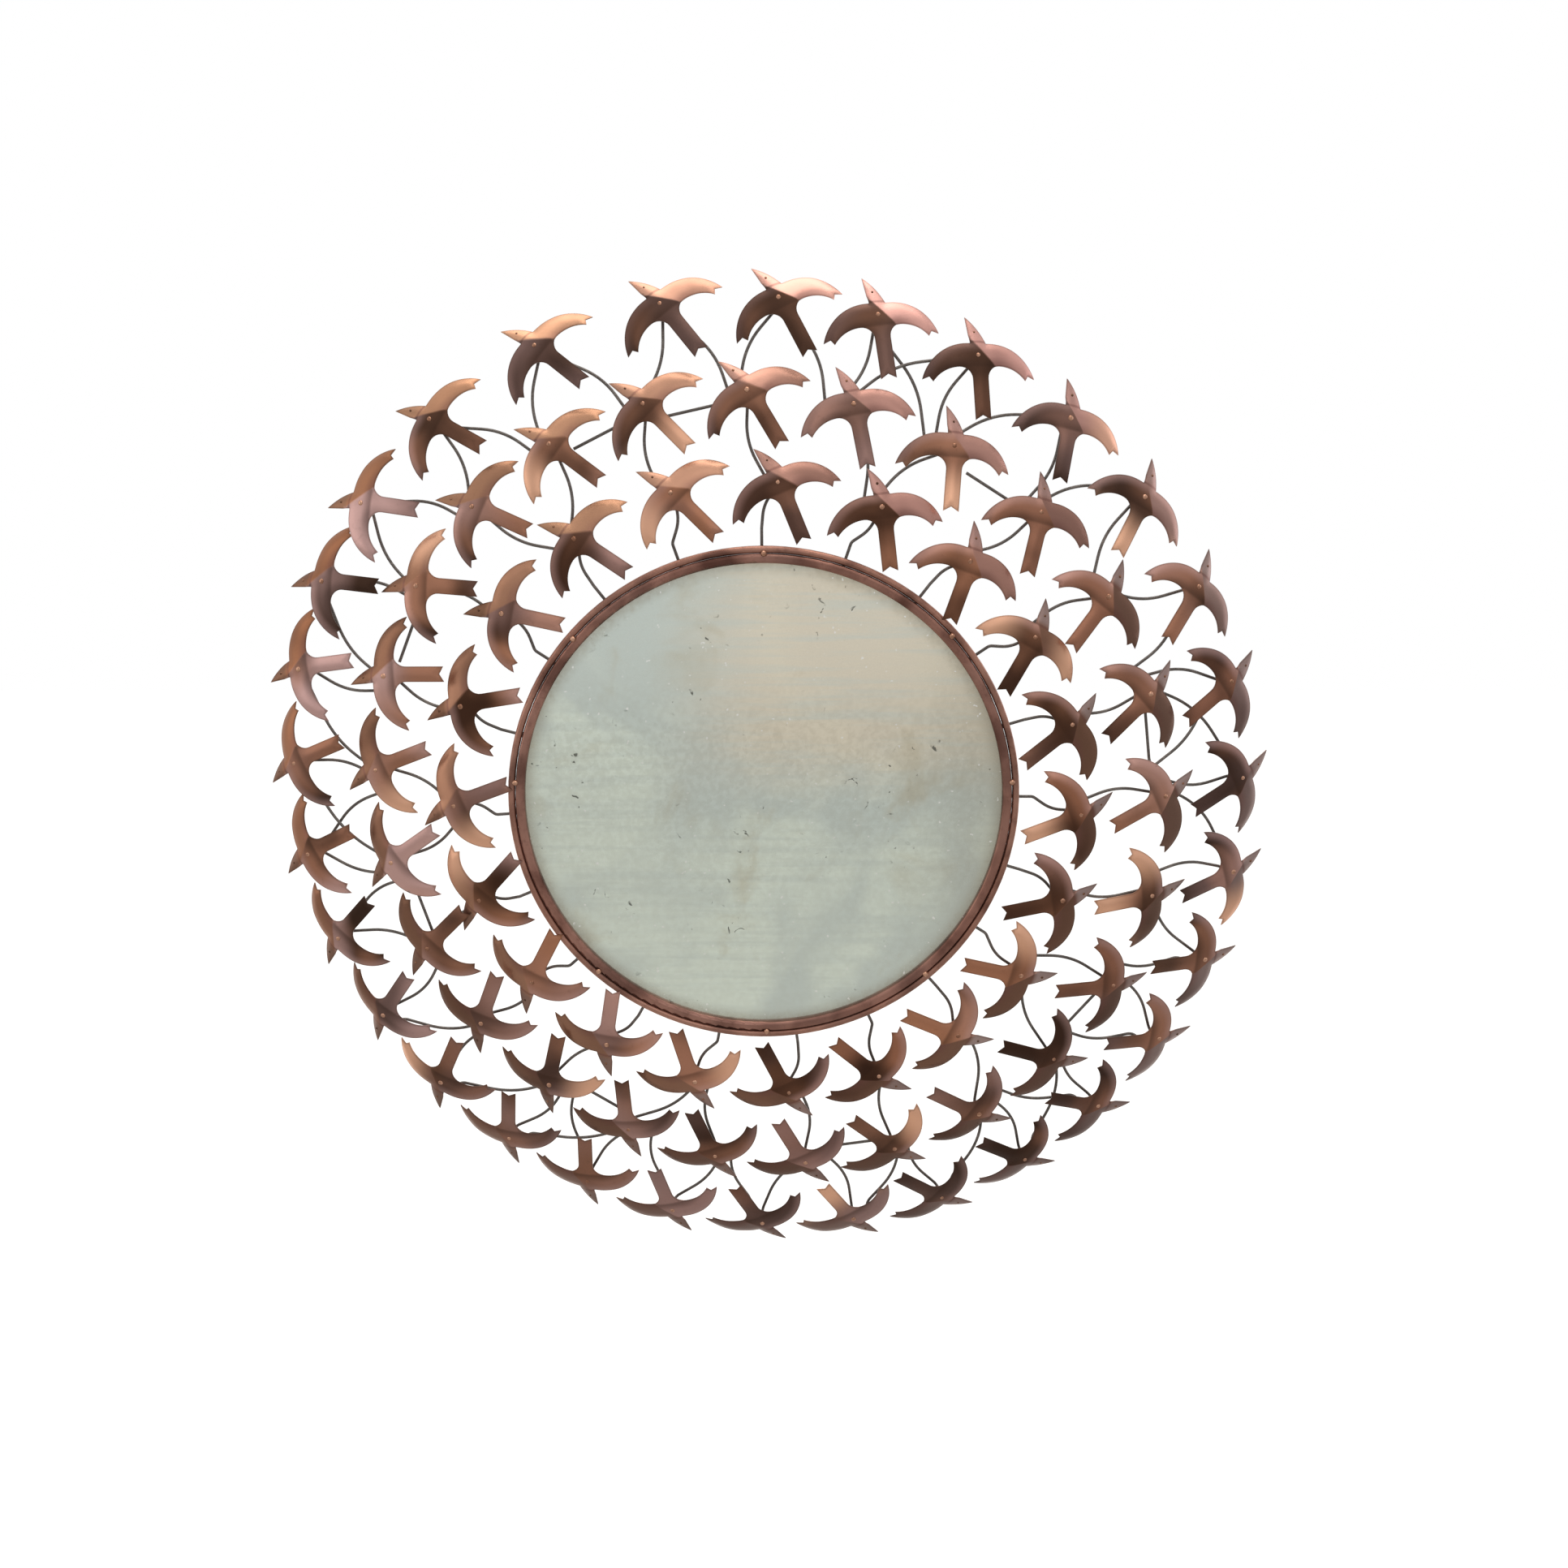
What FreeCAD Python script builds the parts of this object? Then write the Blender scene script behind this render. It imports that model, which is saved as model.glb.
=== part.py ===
import FreeCAD, Part
import Sketcher
import math
import os

V = FreeCAD.Vector
doc = FreeCAD.newDocument("RoundMirror")
sheet = doc.addObject("Spreadsheet::Sheet", "Sizes")

# Every size of the mirror in millimetres or degrees, one plain number to a cell.
size_list = [
    ("axis_drop", 150, "mirror axis below the two hanging eyes"),
    ("ring_outer_radius", 250, "outside of the copper rod round the glass"),
    ("rod_diameter", 7, "copper rod round the bezel"),
    ("rod_gap", 0.3, "solder gap between rod and hoop"),
    ("rod_forward", 1.5, "rod middle in front of the glass face"),
    ("band_thickness", 2, "wall of the copper hoop"),
    ("band_tail", 6, "hoop running past the back of the board"),
    ("glass_gap", 0.7, "play between glass and hoop"),
    ("glass_thickness", 4, "mirror glass"),
    ("glass_cover", 6.5, "bezel lip lying over the glass"),
    ("bezel_height", 6, "bezel standing in front of the glass"),
    ("bezel_round", 2.8, "rounding of the bezel's front edges"),
    ("liner_thickness", 1, "card between glass and board"),
    ("board_gap", 0.5, "play between board and hoop"),
    ("board_thickness", 15, "plywood backing board"),
    ("bead_count", 8, "solder beads seen in the groove"),
    ("bead_radius", 3, "solder bead"),
    ("head_round_share", 0.33, "rounding of a screw head over its height"),
    ("driver_share", 0.33, "width of a screw's driver slot over its head height"),
    ("driver_depth_share", 0.5, "depth of a screw's driver slot over its head height"),
    ("button_count", 6, "turn buttons that hold the board"),
    ("button_width", 12, "turn button"),
    ("button_thickness", 2, "turn button"),
    ("button_inset", 25.5, "pivot of a button inside the hoop wall"),
    ("button_engage", 1.6, "button tip passing into its slot"),
    ("slot_width", 46, "slot in the hoop for a button"),
    ("slot_play", 0.4, "slot clear of the button's faces"),
    ("pivot_radius", 1.75, "shank of a button screw"),
    ("pivot_play", 0.06, "running fit of a button on its screw"),
    ("pilot_play", 0.15, "screw in its pilot hole"),
    ("pivot_bite", 10, "button screw in the board"),
    ("pivot_head_radius", 3.4, "button screw head"),
    ("pivot_head_height", 2.2, "button screw head"),
    ("batten_depth", 57, "wooden batten from board to wall pads"),
    ("batten_length", 280, "wooden batten"),
    ("batten_height", 40, "wooden batten"),
    ("batten_round", 3, "rounded long edges of a batten"),
    ("batten_spacing", 228, "between the middles of the two battens"),
    ("batten_screw_pitch", 70, "between the screws of one batten"),
    ("batten_screw_radius", 2.5, "shank of a batten screw"),
    ("batten_screw_bite", 11, "batten screw in the board"),
    ("batten_head_radius", 4.8, "batten screw head"),
    ("batten_head_height", 3.2, "batten screw head"),
    ("batten_head_sink", 14, "head below the back of the batten"),
    ("head_play", 0.5, "screw head in its counterbore"),
    ("wall_layer", 3, "hanger plates and pads against the wall"),
    ("eye_inset", 30, "hanging eye in from the end of its batten"),
    ("eye_radius", 4, "hanging eye"),
    ("eye_rise", 17, "eye above the top of the batten"),
    ("plate_width", 24, "hanger plate"),
    ("plate_foot", 34, "hanger plate below the top of the batten"),
    ("plate_screw_radius", 1.75, "shank of a hanger screw"),
    ("plate_screw_bite", 22, "hanger screw in the batten"),
    ("plate_screw_pitch", 16, "between the two screws of a plate"),
    ("plate_head_radius", 3.4, "hanger screw head"),
    ("plate_head_height", 1.6, "hanger screw head"),
    ("plate_head_sink", 1.8, "counterbore in the hanger plate"),
    ("pad_radius", 12, "felt pad"),
    ("pad_inset", 30, "middle of a pad in from the end of its batten"),
    ("sheet_thickness", 1, "copper sheet of the birds"),
    ("wing_lead_radius", 45.2, "leading edge of a wing"),
    ("wing_lead_side", 12.6, "start of that curve beside the body line"),
    ("wing_trail_radius", 32.6, "trailing edge of a wing"),
    ("wing_root_width", 22.1, "wing from leading to trailing edge at its root"),
    ("wing_lead_reach", 74, "turn of the leading edge to the front corner of the wing tip"),
    ("wing_trail_reach", 53.5, "turn of the trailing edge to the back corner of the wing tip"),
    ("wing_notch", 4, "cut in a wing tip"),
    ("chest", 10.2, "leading edge ahead of the body middle"),
    ("armpit_radius", 12, "hollow between wing and tail"),
    ("tail_width", 15, "tail strip"),
    ("tail_length", 63, "tail end behind the body middle"),
    ("tail_fork", 4.5, "cut in the tail end"),
    ("beak_length", 36, "beak tip ahead of the body middle"),
    ("beak_side", 10.5, "beak tip beside the body line"),
    ("neck_straight_side", 8.3, "neck on the straight side of the head"),
    ("neck_curved_side", 8, "neck on the curved side of the head"),
    ("cheek", 2, "bulge of the curved side of the head"),
    ("crease_angle", 50, "crease from the tail line"),
    ("crease_ahead", 3.7, "crease ahead of the body middle"),
    ("crease_radius", 5, "inside radius of the crease"),
    ("flock_forward", 5, "innermost birds in front of the glass face"),
    ("flock_depth", 45, "outer row behind the ring"),
    ("swing", 25, "beak turned from straight out"),
    ("swing_spread", 4.5, "hand variation of the swing"),
    ("fold_spread", 4, "hand variation of the crease"),
    ("fold_dip", 6, "less crease on one side of the flock, more on the other"),
    ("fold_dip_side", 115, "clock place with the least crease"),
    ("hand_step", 137.5, "step of the hand variation from bird to bird"),
    ("row_step", 60, "step of the hand variation from row to row"),
    ("group_count", 5, "groups that each row of birds is made in"),
    ("wing_overlap", 12.9, "neighbouring wings passing each other, which sets how many birds fit a row"),
    ("inner_clear", 4.4, "tails of the inner row clear of the ring"),
    ("inner_bulge", 3.5, "inner row fuller on one side"),
    ("inner_oval", 6, "inner row fuller on two opposite sides"),
    ("inner_start", 0, "clock place of the first inner bird"),
    ("inner_drift", 4.2, "inner birds closer on one side"),
    ("inner_drift_side", 32, "clock place of the inner drift"),
    ("inner_stretch", 1, "inner birds closer on two opposite sides"),
    ("inner_stretch_side", 85, "clock place of the inner stretch"),
    ("inner_fold", 16, "crease of the inner birds"),
    ("middle_clear", 25.2, "tails of the middle row clear of the inner row"),
    ("middle_bulge", 8, "middle row fuller on one side"),
    ("middle_oval", 12.5, "middle row fuller on two opposite sides"),
    ("middle_start", 0.75, "clock place of the first middle bird"),
    ("middle_drift", 2.4, "middle birds closer on one side"),
    ("middle_drift_side", 127, "clock place of the middle drift"),
    ("middle_stretch", 1.7, "middle birds closer on two opposite sides"),
    ("middle_stretch_side", 104, "clock place of the middle stretch"),
    ("middle_fold", 15, "crease of the middle birds"),
    ("outer_clear", 26.5, "tails of the outer row clear of the middle row"),
    ("outer_bulge", 6, "outer row fuller on one side"),
    ("outer_oval", 12.8, "outer row fuller on two opposite sides"),
    ("outer_start", 0.45, "clock place of the first outer bird"),
    ("outer_drift", 3.8, "outer birds closer on one side"),
    ("outer_drift_side", 98, "clock place of the outer drift"),
    ("outer_stretch", 0.95, "outer birds closer on two opposite sides"),
    ("outer_stretch_side", 69, "clock place of the outer stretch"),
    ("outer_fold", 15, "crease of the outer birds"),
    ("outer_gap", 2.6, "birds moved apart at the wide place in the outer row"),
    ("outer_gap_side", 336.5, "clock place of the wide place"),
    ("outer_gap_reach", 40, "birds within this clock angle make room for it"),
    ("bulge_side", 98, "clock place where the rows are fullest"),
    ("oval_side", 144, "clock place of the long way of the oval"),
    ("wire_diameter", 3, "steel wire"),
    ("wire_post", 15, "wire standing behind a bird before it turns"),
    ("wire_bend", 7, "bend of a wire at its post"),
    ("wire_bow", 0.14, "sideways bow of a wire over its run"),
    ("root_depth", 10, "wire roots behind the glass face"),
    ("root_run", 22, "straight wire out of the hoop"),
    ("root_lag", 3, "clock angle from a root back from its bird"),
    ("stem_side", 3, "stem end beside the body line"),
    ("stem_behind", 5, "stem end behind the body middle"),
    ("branch_side", 10, "first branch beside the body line"),
    ("branch_ahead", 1, "branches ahead of the body middle"),
    ("branch_step", 8, "between two branches on one bird"),
    ("link_wing_side", 18, "second wire of an outer bird, on its wing"),
    ("link_tail_side", 3, "second wire of an outer bird, on its tail"),
    ("link_tail_behind", 20, "second wire on the tail, behind the body middle"),
    ("link_tail_post", 20.5, "second wire on the tail stands this far behind, clear of the others"),
    ("stub_every", 3, "one free wire end to so many middle birds"),
    ("stub_run", 52, "free wire end beside its bird"),
    ("stub_rise", 17, "free wire end ahead of its bird"),
    ("bend_share", 0.45, "share of a straight run that a bend may take"),
]
for row, (alias, value, note) in enumerate(size_list, 1):
    sheet.set("A%d" % row, note)
    sheet.set("B%d" % row, str(value))
    sheet.setAlias("B%d" % row, alias)
doc.recompute()

pieces = []


def size(alias):
    return float(sheet.get(alias))


def amount(text):
    # Adds up a row of sizes such as "wall_layer + batten_depth - band_tail/2".
    total = 0.0
    sign = 1
    for token in text.split():
        if token in ("+", "-"):
            sign = 1 if token == "+" else -1
        else:
            alias, slash, divisor = token.partition("/")
            total += sign * size(alias) / float(divisor or 1)
    return total


def formula(text):
    return " ".join(token if token in ("+", "-") else "Sizes." + token for token in text.split())


def bind(thing, prop, text, sign=""):
    thing.setExpression(prop, "%s(%s)" % (sign, formula(text)))


# Depths in front of the wall, and radii about the mirror axis, as rows of sizes.
board_back = "wall_layer + batten_depth"
board_front = board_back + " + board_thickness"
glass_back = board_front + " + liner_thickness"
glass_front = glass_back + " + glass_thickness"
band_outer = "ring_outer_radius - rod_diameter - rod_gap"
band_inner = band_outer + " - band_thickness"
glass_edge = band_inner + " - glass_gap"
board_edge = band_inner + " - board_gap"
pivot_circle = band_inner + " - button_inset"
toward_wall = FreeCAD.Rotation(V(1, 0, 0), -90)


def on_axis(thing, depth):
    # Sets a round piece on the mirror axis with its axis toward the wall and its front at a depth.
    thing.Placement = FreeCAD.Placement(V(0, 0, 0), toward_wall)
    bind(thing, "Placement.Base.y", depth, "-")
    bind(thing, "Placement.Base.z", "axis_drop", "-")


def keep(thing, label):
    thing.Label = label
    pieces.append(thing)
    return thing


def cylinder(name, radius, height):
    thing = doc.addObject("Part::Cylinder", name)
    bind(thing, "Radius", radius)
    bind(thing, "Height", height)
    return thing


def boolean(kind, name, base, tool):
    thing = doc.addObject("Part::" + kind, name)
    thing.Base = base
    thing.Tool = tool
    return thing


def fused(name, things):
    thing = doc.addObject("Part::MultiFuse", name)
    thing.Shapes = things
    return thing


def given(label, shape):
    thing = doc.addObject("Part::Feature", label)
    thing.Shape = shape
    return keep(thing, label)


def clock(place):
    # Turns a piece made at twelve o'clock about the mirror axis, clockwise as seen from the front.
    turn = FreeCAD.Rotation(V(0, 1, 0), place)
    return FreeCAD.Placement(V(0, 0, -size("axis_drop")), turn)


def around(count, first):
    return [first + 360.0 * k / count for k in range(int(count))]


# Mirror glass, card and board, dropped into the hoop from behind.
glass = cylinder("GlassDisc", glass_edge, "glass_thickness")
on_axis(glass, glass_front)
keep(glass, "mirror_glass")
liner = cylinder("LinerDisc", glass_edge, "liner_thickness")
on_axis(liner, glass_back)
keep(liner, "liner_card")

button_places = around(size("button_count"), 180.0 / size("button_count"))
batten_middles = (amount("batten_spacing/2"), -amount("batten_spacing/2"))
batten_screw_sides = (-size("batten_screw_pitch"), 0, size("batten_screw_pitch"))
batten_top = size("axis_drop") - size("eye_rise")
eye_side = amount("batten_length/2 - eye_inset")
batten_rise = batten_top - amount("batten_height/2") - batten_middles[0]

board_disc = cylinder("BoardDisc", board_edge, "board_thickness")
on_axis(board_disc, board_front)
pilots = []
for k, place in enumerate(button_places):
    pilot = cylinder("ButtonPilot%d" % k, "pivot_radius + pilot_play", "pivot_bite")
    pilot.Placement = clock(place).multiply(FreeCAD.Placement(
        V(0, -amount(board_back + " + pivot_bite"), amount(pivot_circle)), toward_wall))
    pilots.append(pilot)
for k, up in enumerate(batten_middles):
    for j, side in enumerate(batten_screw_sides):
        pilot = cylinder("BattenPilot%d%d" % (k, j), "batten_screw_radius + pilot_play", "batten_screw_bite")
        spot = V(side, -amount(board_back + " + batten_screw_bite"), up + batten_rise - size("axis_drop"))
        pilot.Placement = FreeCAD.Placement(spot, toward_wall)
        pilots.append(pilot)
board = boolean("Cut", "BoardDrilled", board_disc, fused("BoardPilots", pilots))
keep(board, "backing_board")

# Copper hoop with a slot for every turn button near its back edge.
hoop_length = "band_tail + board_thickness + liner_thickness + glass_thickness"
hoop_outside = cylinder("HoopOutside", band_outer, hoop_length)
on_axis(hoop_outside, glass_front)
hoop_inside = cylinder("HoopInside", band_inner, hoop_length)
on_axis(hoop_inside, glass_front)
slots = []
for k, place in enumerate(button_places):
    slot = doc.addObject("Part::Box", "HoopSlot%d" % k)
    bind(slot, "Length", "slot_width")
    bind(slot, "Width", "button_thickness + slot_play + slot_play")
    bind(slot, "Height", "button_inset")
    corner = V(-amount("slot_width/2"), -amount(board_back + " + slot_play"),
               amount(band_inner + " - button_inset/2"))
    slot.Placement = clock(place).multiply(FreeCAD.Placement(corner, FreeCAD.Rotation()))
    slots.append(slot)
hoop_wall = boolean("Cut", "HoopWall", hoop_outside, hoop_inside)
hoop = boolean("Cut", "HoopSlotted", hoop_wall, fused("HoopSlots", slots))
keep(hoop, "hoop_band")


def corner_sketch(body, name, corners):
    # Draws a closed outline on the body's XY plane, every corner held by two dimensions from the origin.
    sketch = body.newObject("Sketcher::SketchObject", name)
    plane = [f for f in body.Origin.OriginFeatures if f.Role == "XY_Plane"][0]
    sketch.AttachmentSupport = (plane, [""])
    sketch.MapMode = "FlatFace"
    spots = [V(amount(x), amount(y), 0) for x, y in corners]
    for k, spot in enumerate(spots):
        sketch.addGeometry(Part.LineSegment(spot, spots[(k + 1) % len(spots)]), False)
    for k in range(len(spots)):
        sketch.addConstraint(Sketcher.Constraint("Coincident", k, 2, (k + 1) % len(spots), 1))
    for k, (x, y) in enumerate(corners):
        for kind, text in (("DistanceX", x), ("DistanceY", y)):
            mark = sketch.addConstraint(Sketcher.Constraint(kind, -1, 1, k, 1, amount(text)))
            bind(sketch, "Constraints[%d]" % mark, text)
    return sketch


# Bezel: a turned copper lip in front of the glass, rounded at both front edges.
bezel = doc.addObject("PartDesign::Body", "Bezel")
bezel_inner = glass_edge + " - glass_cover"
bezel_front = glass_front + " + bezel_height"
bezel_outline = corner_sketch(bezel, "BezelOutline", [
    (bezel_inner, glass_front), (band_outer, glass_front),
    (band_outer, bezel_front), (bezel_inner, bezel_front)])
bezel_turn = bezel.newObject("PartDesign::Revolution", "BezelTurn")
bezel_turn.Profile = bezel_outline
bezel_turn.ReferenceAxis = (bezel_outline, ["V_Axis"])
bezel_turn.Angle = 360
doc.recompute()
front_edges = []
for k, edge in enumerate(bezel_turn.Shape.Edges, 1):
    level = edge.BoundBox
    if level.YMin > amount(bezel_front) - amount("bezel_height/2") and level.XLength > amount(bezel_inner):
        front_edges.append("Edge%d" % k)
bezel_fillet = bezel.newObject("PartDesign::Fillet", "BezelRounding")
bezel_fillet.Base = (bezel_turn, front_edges)
bind(bezel_fillet, "Radius", "bezel_round")
bezel.Placement = FreeCAD.Placement(V(0, 0, 0), FreeCAD.Rotation(V(0, 0, 1), 180))
bind(bezel, "Placement.Base.z", "axis_drop", "-")
keep(bezel, "bezel_ring")

# Rod soldered round the outside, with beads in the groove between rod and bezel.
rod = doc.addObject("Part::Torus", "Rod")
bind(rod, "Radius1", "ring_outer_radius - rod_diameter/2")
bind(rod, "Radius2", "rod_diameter/2")
on_axis(rod, glass_front + " + rod_forward")
keep(rod, "outer_rod")
doc.recompute()
beads = []
for k, place in enumerate(around(size("bead_count"), 0)):
    nudge = size("inner_drift") * math.sin(math.radians(size("hand_step") * k))
    ball = Part.makeSphere(size("bead_radius"), V(0, -amount(glass_front + " + rod_forward + rod_diameter/2"),
                                                  amount(band_outer + " + rod_gap")))
    ball.Placement = clock(place + nudge).multiply(ball.Placement)
    beads.append(ball.cut([rod.Shape, bezel.Shape]))
given("braze_beads", Part.makeCompound([s for bead in beads for s in bead.Solids]))


def turned_screw(radius, length, head_radius, head_height):
    # A slotted screw standing along Z: shank below zero, head above it.
    shank = Part.makeCylinder(radius, length, V(0, 0, -length))
    head = Part.makeCylinder(head_radius, head_height)
    rim = [e for e in head.Edges if e.BoundBox.ZMin > head_height / 2 and e.BoundBox.XLength > head_radius]
    head = head.makeFillet(head_height * size("head_round_share"), rim)
    width = head_height * size("driver_share")
    depth = head_height * size("driver_depth_share")
    driver = Part.makeBox(4 * head_radius, width, depth, V(-2 * head_radius, -width / 2, head_height - depth))
    return shank.fuse(head.cut(driver)).removeSplitter()


# Turn buttons: each swings on its own screw and passes its tip into a slot of the hoop.
for k, place in enumerate(button_places):
    button = doc.addObject("PartDesign::Body", "Button%d" % (k + 1))
    outline = button.newObject("Sketcher::SketchObject", "ButtonOutline%d" % (k + 1))
    plane = [f for f in button.Origin.OriginFeatures if f.Role == "XY_Plane"][0]
    outline.AttachmentSupport = (plane, [""])
    outline.MapMode = "FlatFace"
    half = amount("button_width/2")
    far = amount("button_inset + button_engage - button_width/2")
    heel = Part.Circle(V(0, 0, 0), V(0, 0, 1), half)
    toe = Part.Circle(V(0, far, 0), V(0, 0, 1), half)
    outline.addGeometry(Part.ArcOfCircle(heel, math.pi, 2 * math.pi), False)
    outline.addGeometry(Part.LineSegment(V(half, 0, 0), V(half, far, 0)), False)
    outline.addGeometry(Part.ArcOfCircle(toe, 0, math.pi), False)
    outline.addGeometry(Part.LineSegment(V(-half, far, 0), V(-half, 0, 0)), False)
    outline.addGeometry(Part.Circle(V(0, 0, 0), V(0, 0, 1), amount("pivot_radius + pivot_play")), False)
    outline.addConstraint(Sketcher.Constraint("Coincident", 0, 3, -1, 1))
    outline.addConstraint(Sketcher.Constraint("Coincident", 4, 3, -1, 1))
    outline.addConstraint(Sketcher.Constraint("PointOnObject", 2, 3, -2))
    outline.addConstraint(Sketcher.Constraint("Tangent", 0, 2, 1, 1))
    outline.addConstraint(Sketcher.Constraint("Tangent", 1, 2, 2, 1))
    outline.addConstraint(Sketcher.Constraint("Tangent", 2, 2, 3, 1))
    outline.addConstraint(Sketcher.Constraint("Tangent", 3, 2, 0, 1))
    mark = outline.addConstraint(Sketcher.Constraint("Radius", 0, half))
    bind(outline, "Constraints[%d]" % mark, "button_width/2")
    mark = outline.addConstraint(Sketcher.Constraint("DistanceY", -1, 1, 2, 3, far))
    bind(outline, "Constraints[%d]" % mark, "button_inset + button_engage - button_width/2")
    mark = outline.addConstraint(Sketcher.Constraint("Radius", 4, amount("pivot_radius + pivot_play")))
    bind(outline, "Constraints[%d]" % mark, "pivot_radius + pivot_play")
    plate = button.newObject("PartDesign::Pad", "ButtonPlate%d" % (k + 1))
    plate.Profile = outline
    bind(plate, "Length", "button_thickness")
    upright = FreeCAD.Rotation(V(1, 0, 0), 90)
    button.Placement = clock(place).multiply(FreeCAD.Placement(
        V(0, -amount(board_back + " - button_thickness"), amount(pivot_circle)), upright))
    keep(button, "turn_button_%d" % (k + 1))
button_screw = turned_screw(size("pivot_radius"), amount("pivot_bite + button_thickness"),
                            size("pivot_head_radius"), size("pivot_head_height"))
button_screws = []
for place in button_places:
    screw = button_screw.copy()
    screw.Placement = clock(place).multiply(FreeCAD.Placement(
        V(0, -amount(board_back + " - button_thickness"), amount(pivot_circle)), toward_wall))
    button_screws.append(screw)
given("button_screws", Part.makeCompound(button_screws))

# Two battens keep the flock off the wall. Each has counterbored screws into the board.
for k, (up, label) in enumerate(zip(batten_middles, ("upper_batten", "lower_batten"))):
    low = up + batten_rise - size("axis_drop") - amount("batten_height/2")
    bar = doc.addObject("Part::Box", "Bar%d" % k)
    bind(bar, "Length", "batten_length")
    bind(bar, "Width", "batten_depth")
    bind(bar, "Height", "batten_height")
    bar.Placement.Base = V(-amount("batten_length/2"), -amount(board_back), low)
    doc.recompute()
    rounding = doc.addObject("Part::Fillet", "BarRounded%d" % k)
    rounding.Base = bar
    wall_edges = [j for j, e in enumerate(bar.Shape.Edges, 1)
                  if e.BoundBox.YMin > -amount("wall_layer + batten_depth/2")
                  and e.BoundBox.XLength > amount("batten_length/2")]
    rounding.Edges = [(j, size("batten_round"), size("batten_round")) for j in wall_edges]
    drills = []
    for j, side in enumerate(batten_screw_sides):
        shank = cylinder("BarShank%d%d" % (k, j), "batten_screw_radius + pilot_play", "batten_depth")
        level = low + amount("batten_height/2")
        shank.Placement = FreeCAD.Placement(V(side, -amount(board_back), level), toward_wall)
        mouth = cylinder("BarMouth%d%d" % (k, j), "batten_head_radius + head_play",
                         "batten_head_sink + batten_head_height")
        mouth.Placement = FreeCAD.Placement(
            V(side, -amount("wall_layer + batten_head_sink + batten_head_height"), level), toward_wall)
        drills += [shank, mouth]
    if k == 0:
        for j, side in enumerate((-eye_side, eye_side)):
            for i in range(2):
                pilot = cylinder("PlatePilot%d%d" % (j, i), "plate_screw_radius + pilot_play",
                                 "plate_screw_bite")
                drop = amount("plate_foot/2 - plate_screw_pitch/2") + i * size("plate_screw_pitch")
                pilot.Placement = FreeCAD.Placement(
                    V(side, -amount("wall_layer + plate_screw_bite"), -size("eye_rise") - drop), toward_wall)
                drills.append(pilot)
    batten = boolean("Cut", "Batten%d" % k, rounding, fused("BarDrills%d" % k, drills))
    keep(batten, label)
batten_shank = amount("batten_depth - batten_head_sink - batten_head_height + batten_screw_bite")
batten_screw = turned_screw(size("batten_screw_radius"), batten_shank,
                            size("batten_head_radius"), size("batten_head_height"))
batten_screws = []
for up in batten_middles:
    for side in batten_screw_sides:
        screw = batten_screw.copy()
        depth = amount("wall_layer + batten_head_sink + batten_head_height")
        spot = V(side, -depth, up + batten_rise - size("axis_drop"))
        screw.Placement = FreeCAD.Placement(spot, toward_wall)
        batten_screws.append(screw)
given("batten_screws", Part.makeCompound(batten_screws))

# Hanger plates stand up from the upper batten. Each has an eye for a wall hook.
hanger_shank = amount("plate_screw_bite + wall_layer - plate_head_sink")
hanger_screw = turned_screw(size("plate_screw_radius"), hanger_shank,
                            size("plate_head_radius"), size("plate_head_height"))
hanger_screws = []
for j, (side, label) in enumerate(((-eye_side, "hanger_plate_left"), (eye_side, "hanger_plate_right"))):
    flat = doc.addObject("Part::Box", "PlateFlat%d" % j)
    bind(flat, "Length", "plate_width")
    bind(flat, "Width", "wall_layer")
    bind(flat, "Height", "plate_foot + eye_rise")
    flat.Placement.Base = V(side - amount("plate_width/2"), -size("wall_layer"),
                            -amount("plate_foot + eye_rise"))
    crown = cylinder("PlateCrown%d" % j, "plate_width/2", "wall_layer")
    crown.Placement = FreeCAD.Placement(V(side, -size("wall_layer"), 0), toward_wall)
    eye = cylinder("PlateEye%d" % j, "eye_radius", "wall_layer")
    eye.Placement = FreeCAD.Placement(V(side, -size("wall_layer"), 0), toward_wall)
    drills = [eye]
    for i in range(2):
        drop = amount("plate_foot/2 - plate_screw_pitch/2") + i * size("plate_screw_pitch")
        hole = cylinder("PlateHole%d%d" % (j, i), "plate_screw_radius + pilot_play", "wall_layer")
        level = -size("eye_rise") - drop
        hole.Placement = FreeCAD.Placement(V(side, -size("wall_layer"), level), toward_wall)
        sink = cylinder("PlateSink%d%d" % (j, i), "plate_head_radius + head_play", "plate_head_sink")
        sink.Placement = FreeCAD.Placement(V(side, -size("plate_head_sink"), level), toward_wall)
        drills += [hole, sink]
        screw = hanger_screw.copy()
        screw.Placement = FreeCAD.Placement(V(side, -size("plate_head_sink"), level), toward_wall)
        hanger_screws.append(screw)
    body = fused("PlateBody%d" % j, [flat, crown])
    hanger = boolean("Cut", "HangerPlate%d" % j, body, fused("PlateDrills%d" % j, drills))
    keep(hanger, label)
given("hanger_screws", Part.makeCompound(hanger_screws))

# Felt pads on the lower batten carry the same thickness to the wall.
pads = []
pad_side = amount("batten_length/2 - pad_inset")
for side in (-pad_side, pad_side):
    pad = Part.makeCylinder(size("pad_radius"), size("wall_layer"))
    pad.Placement = FreeCAD.Placement(
        V(side, -size("wall_layer"), batten_middles[1] + batten_rise - size("axis_drop")), toward_wall)
    pads.append(pad)
given("wall_pads", Part.makeCompound(pads))


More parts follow.
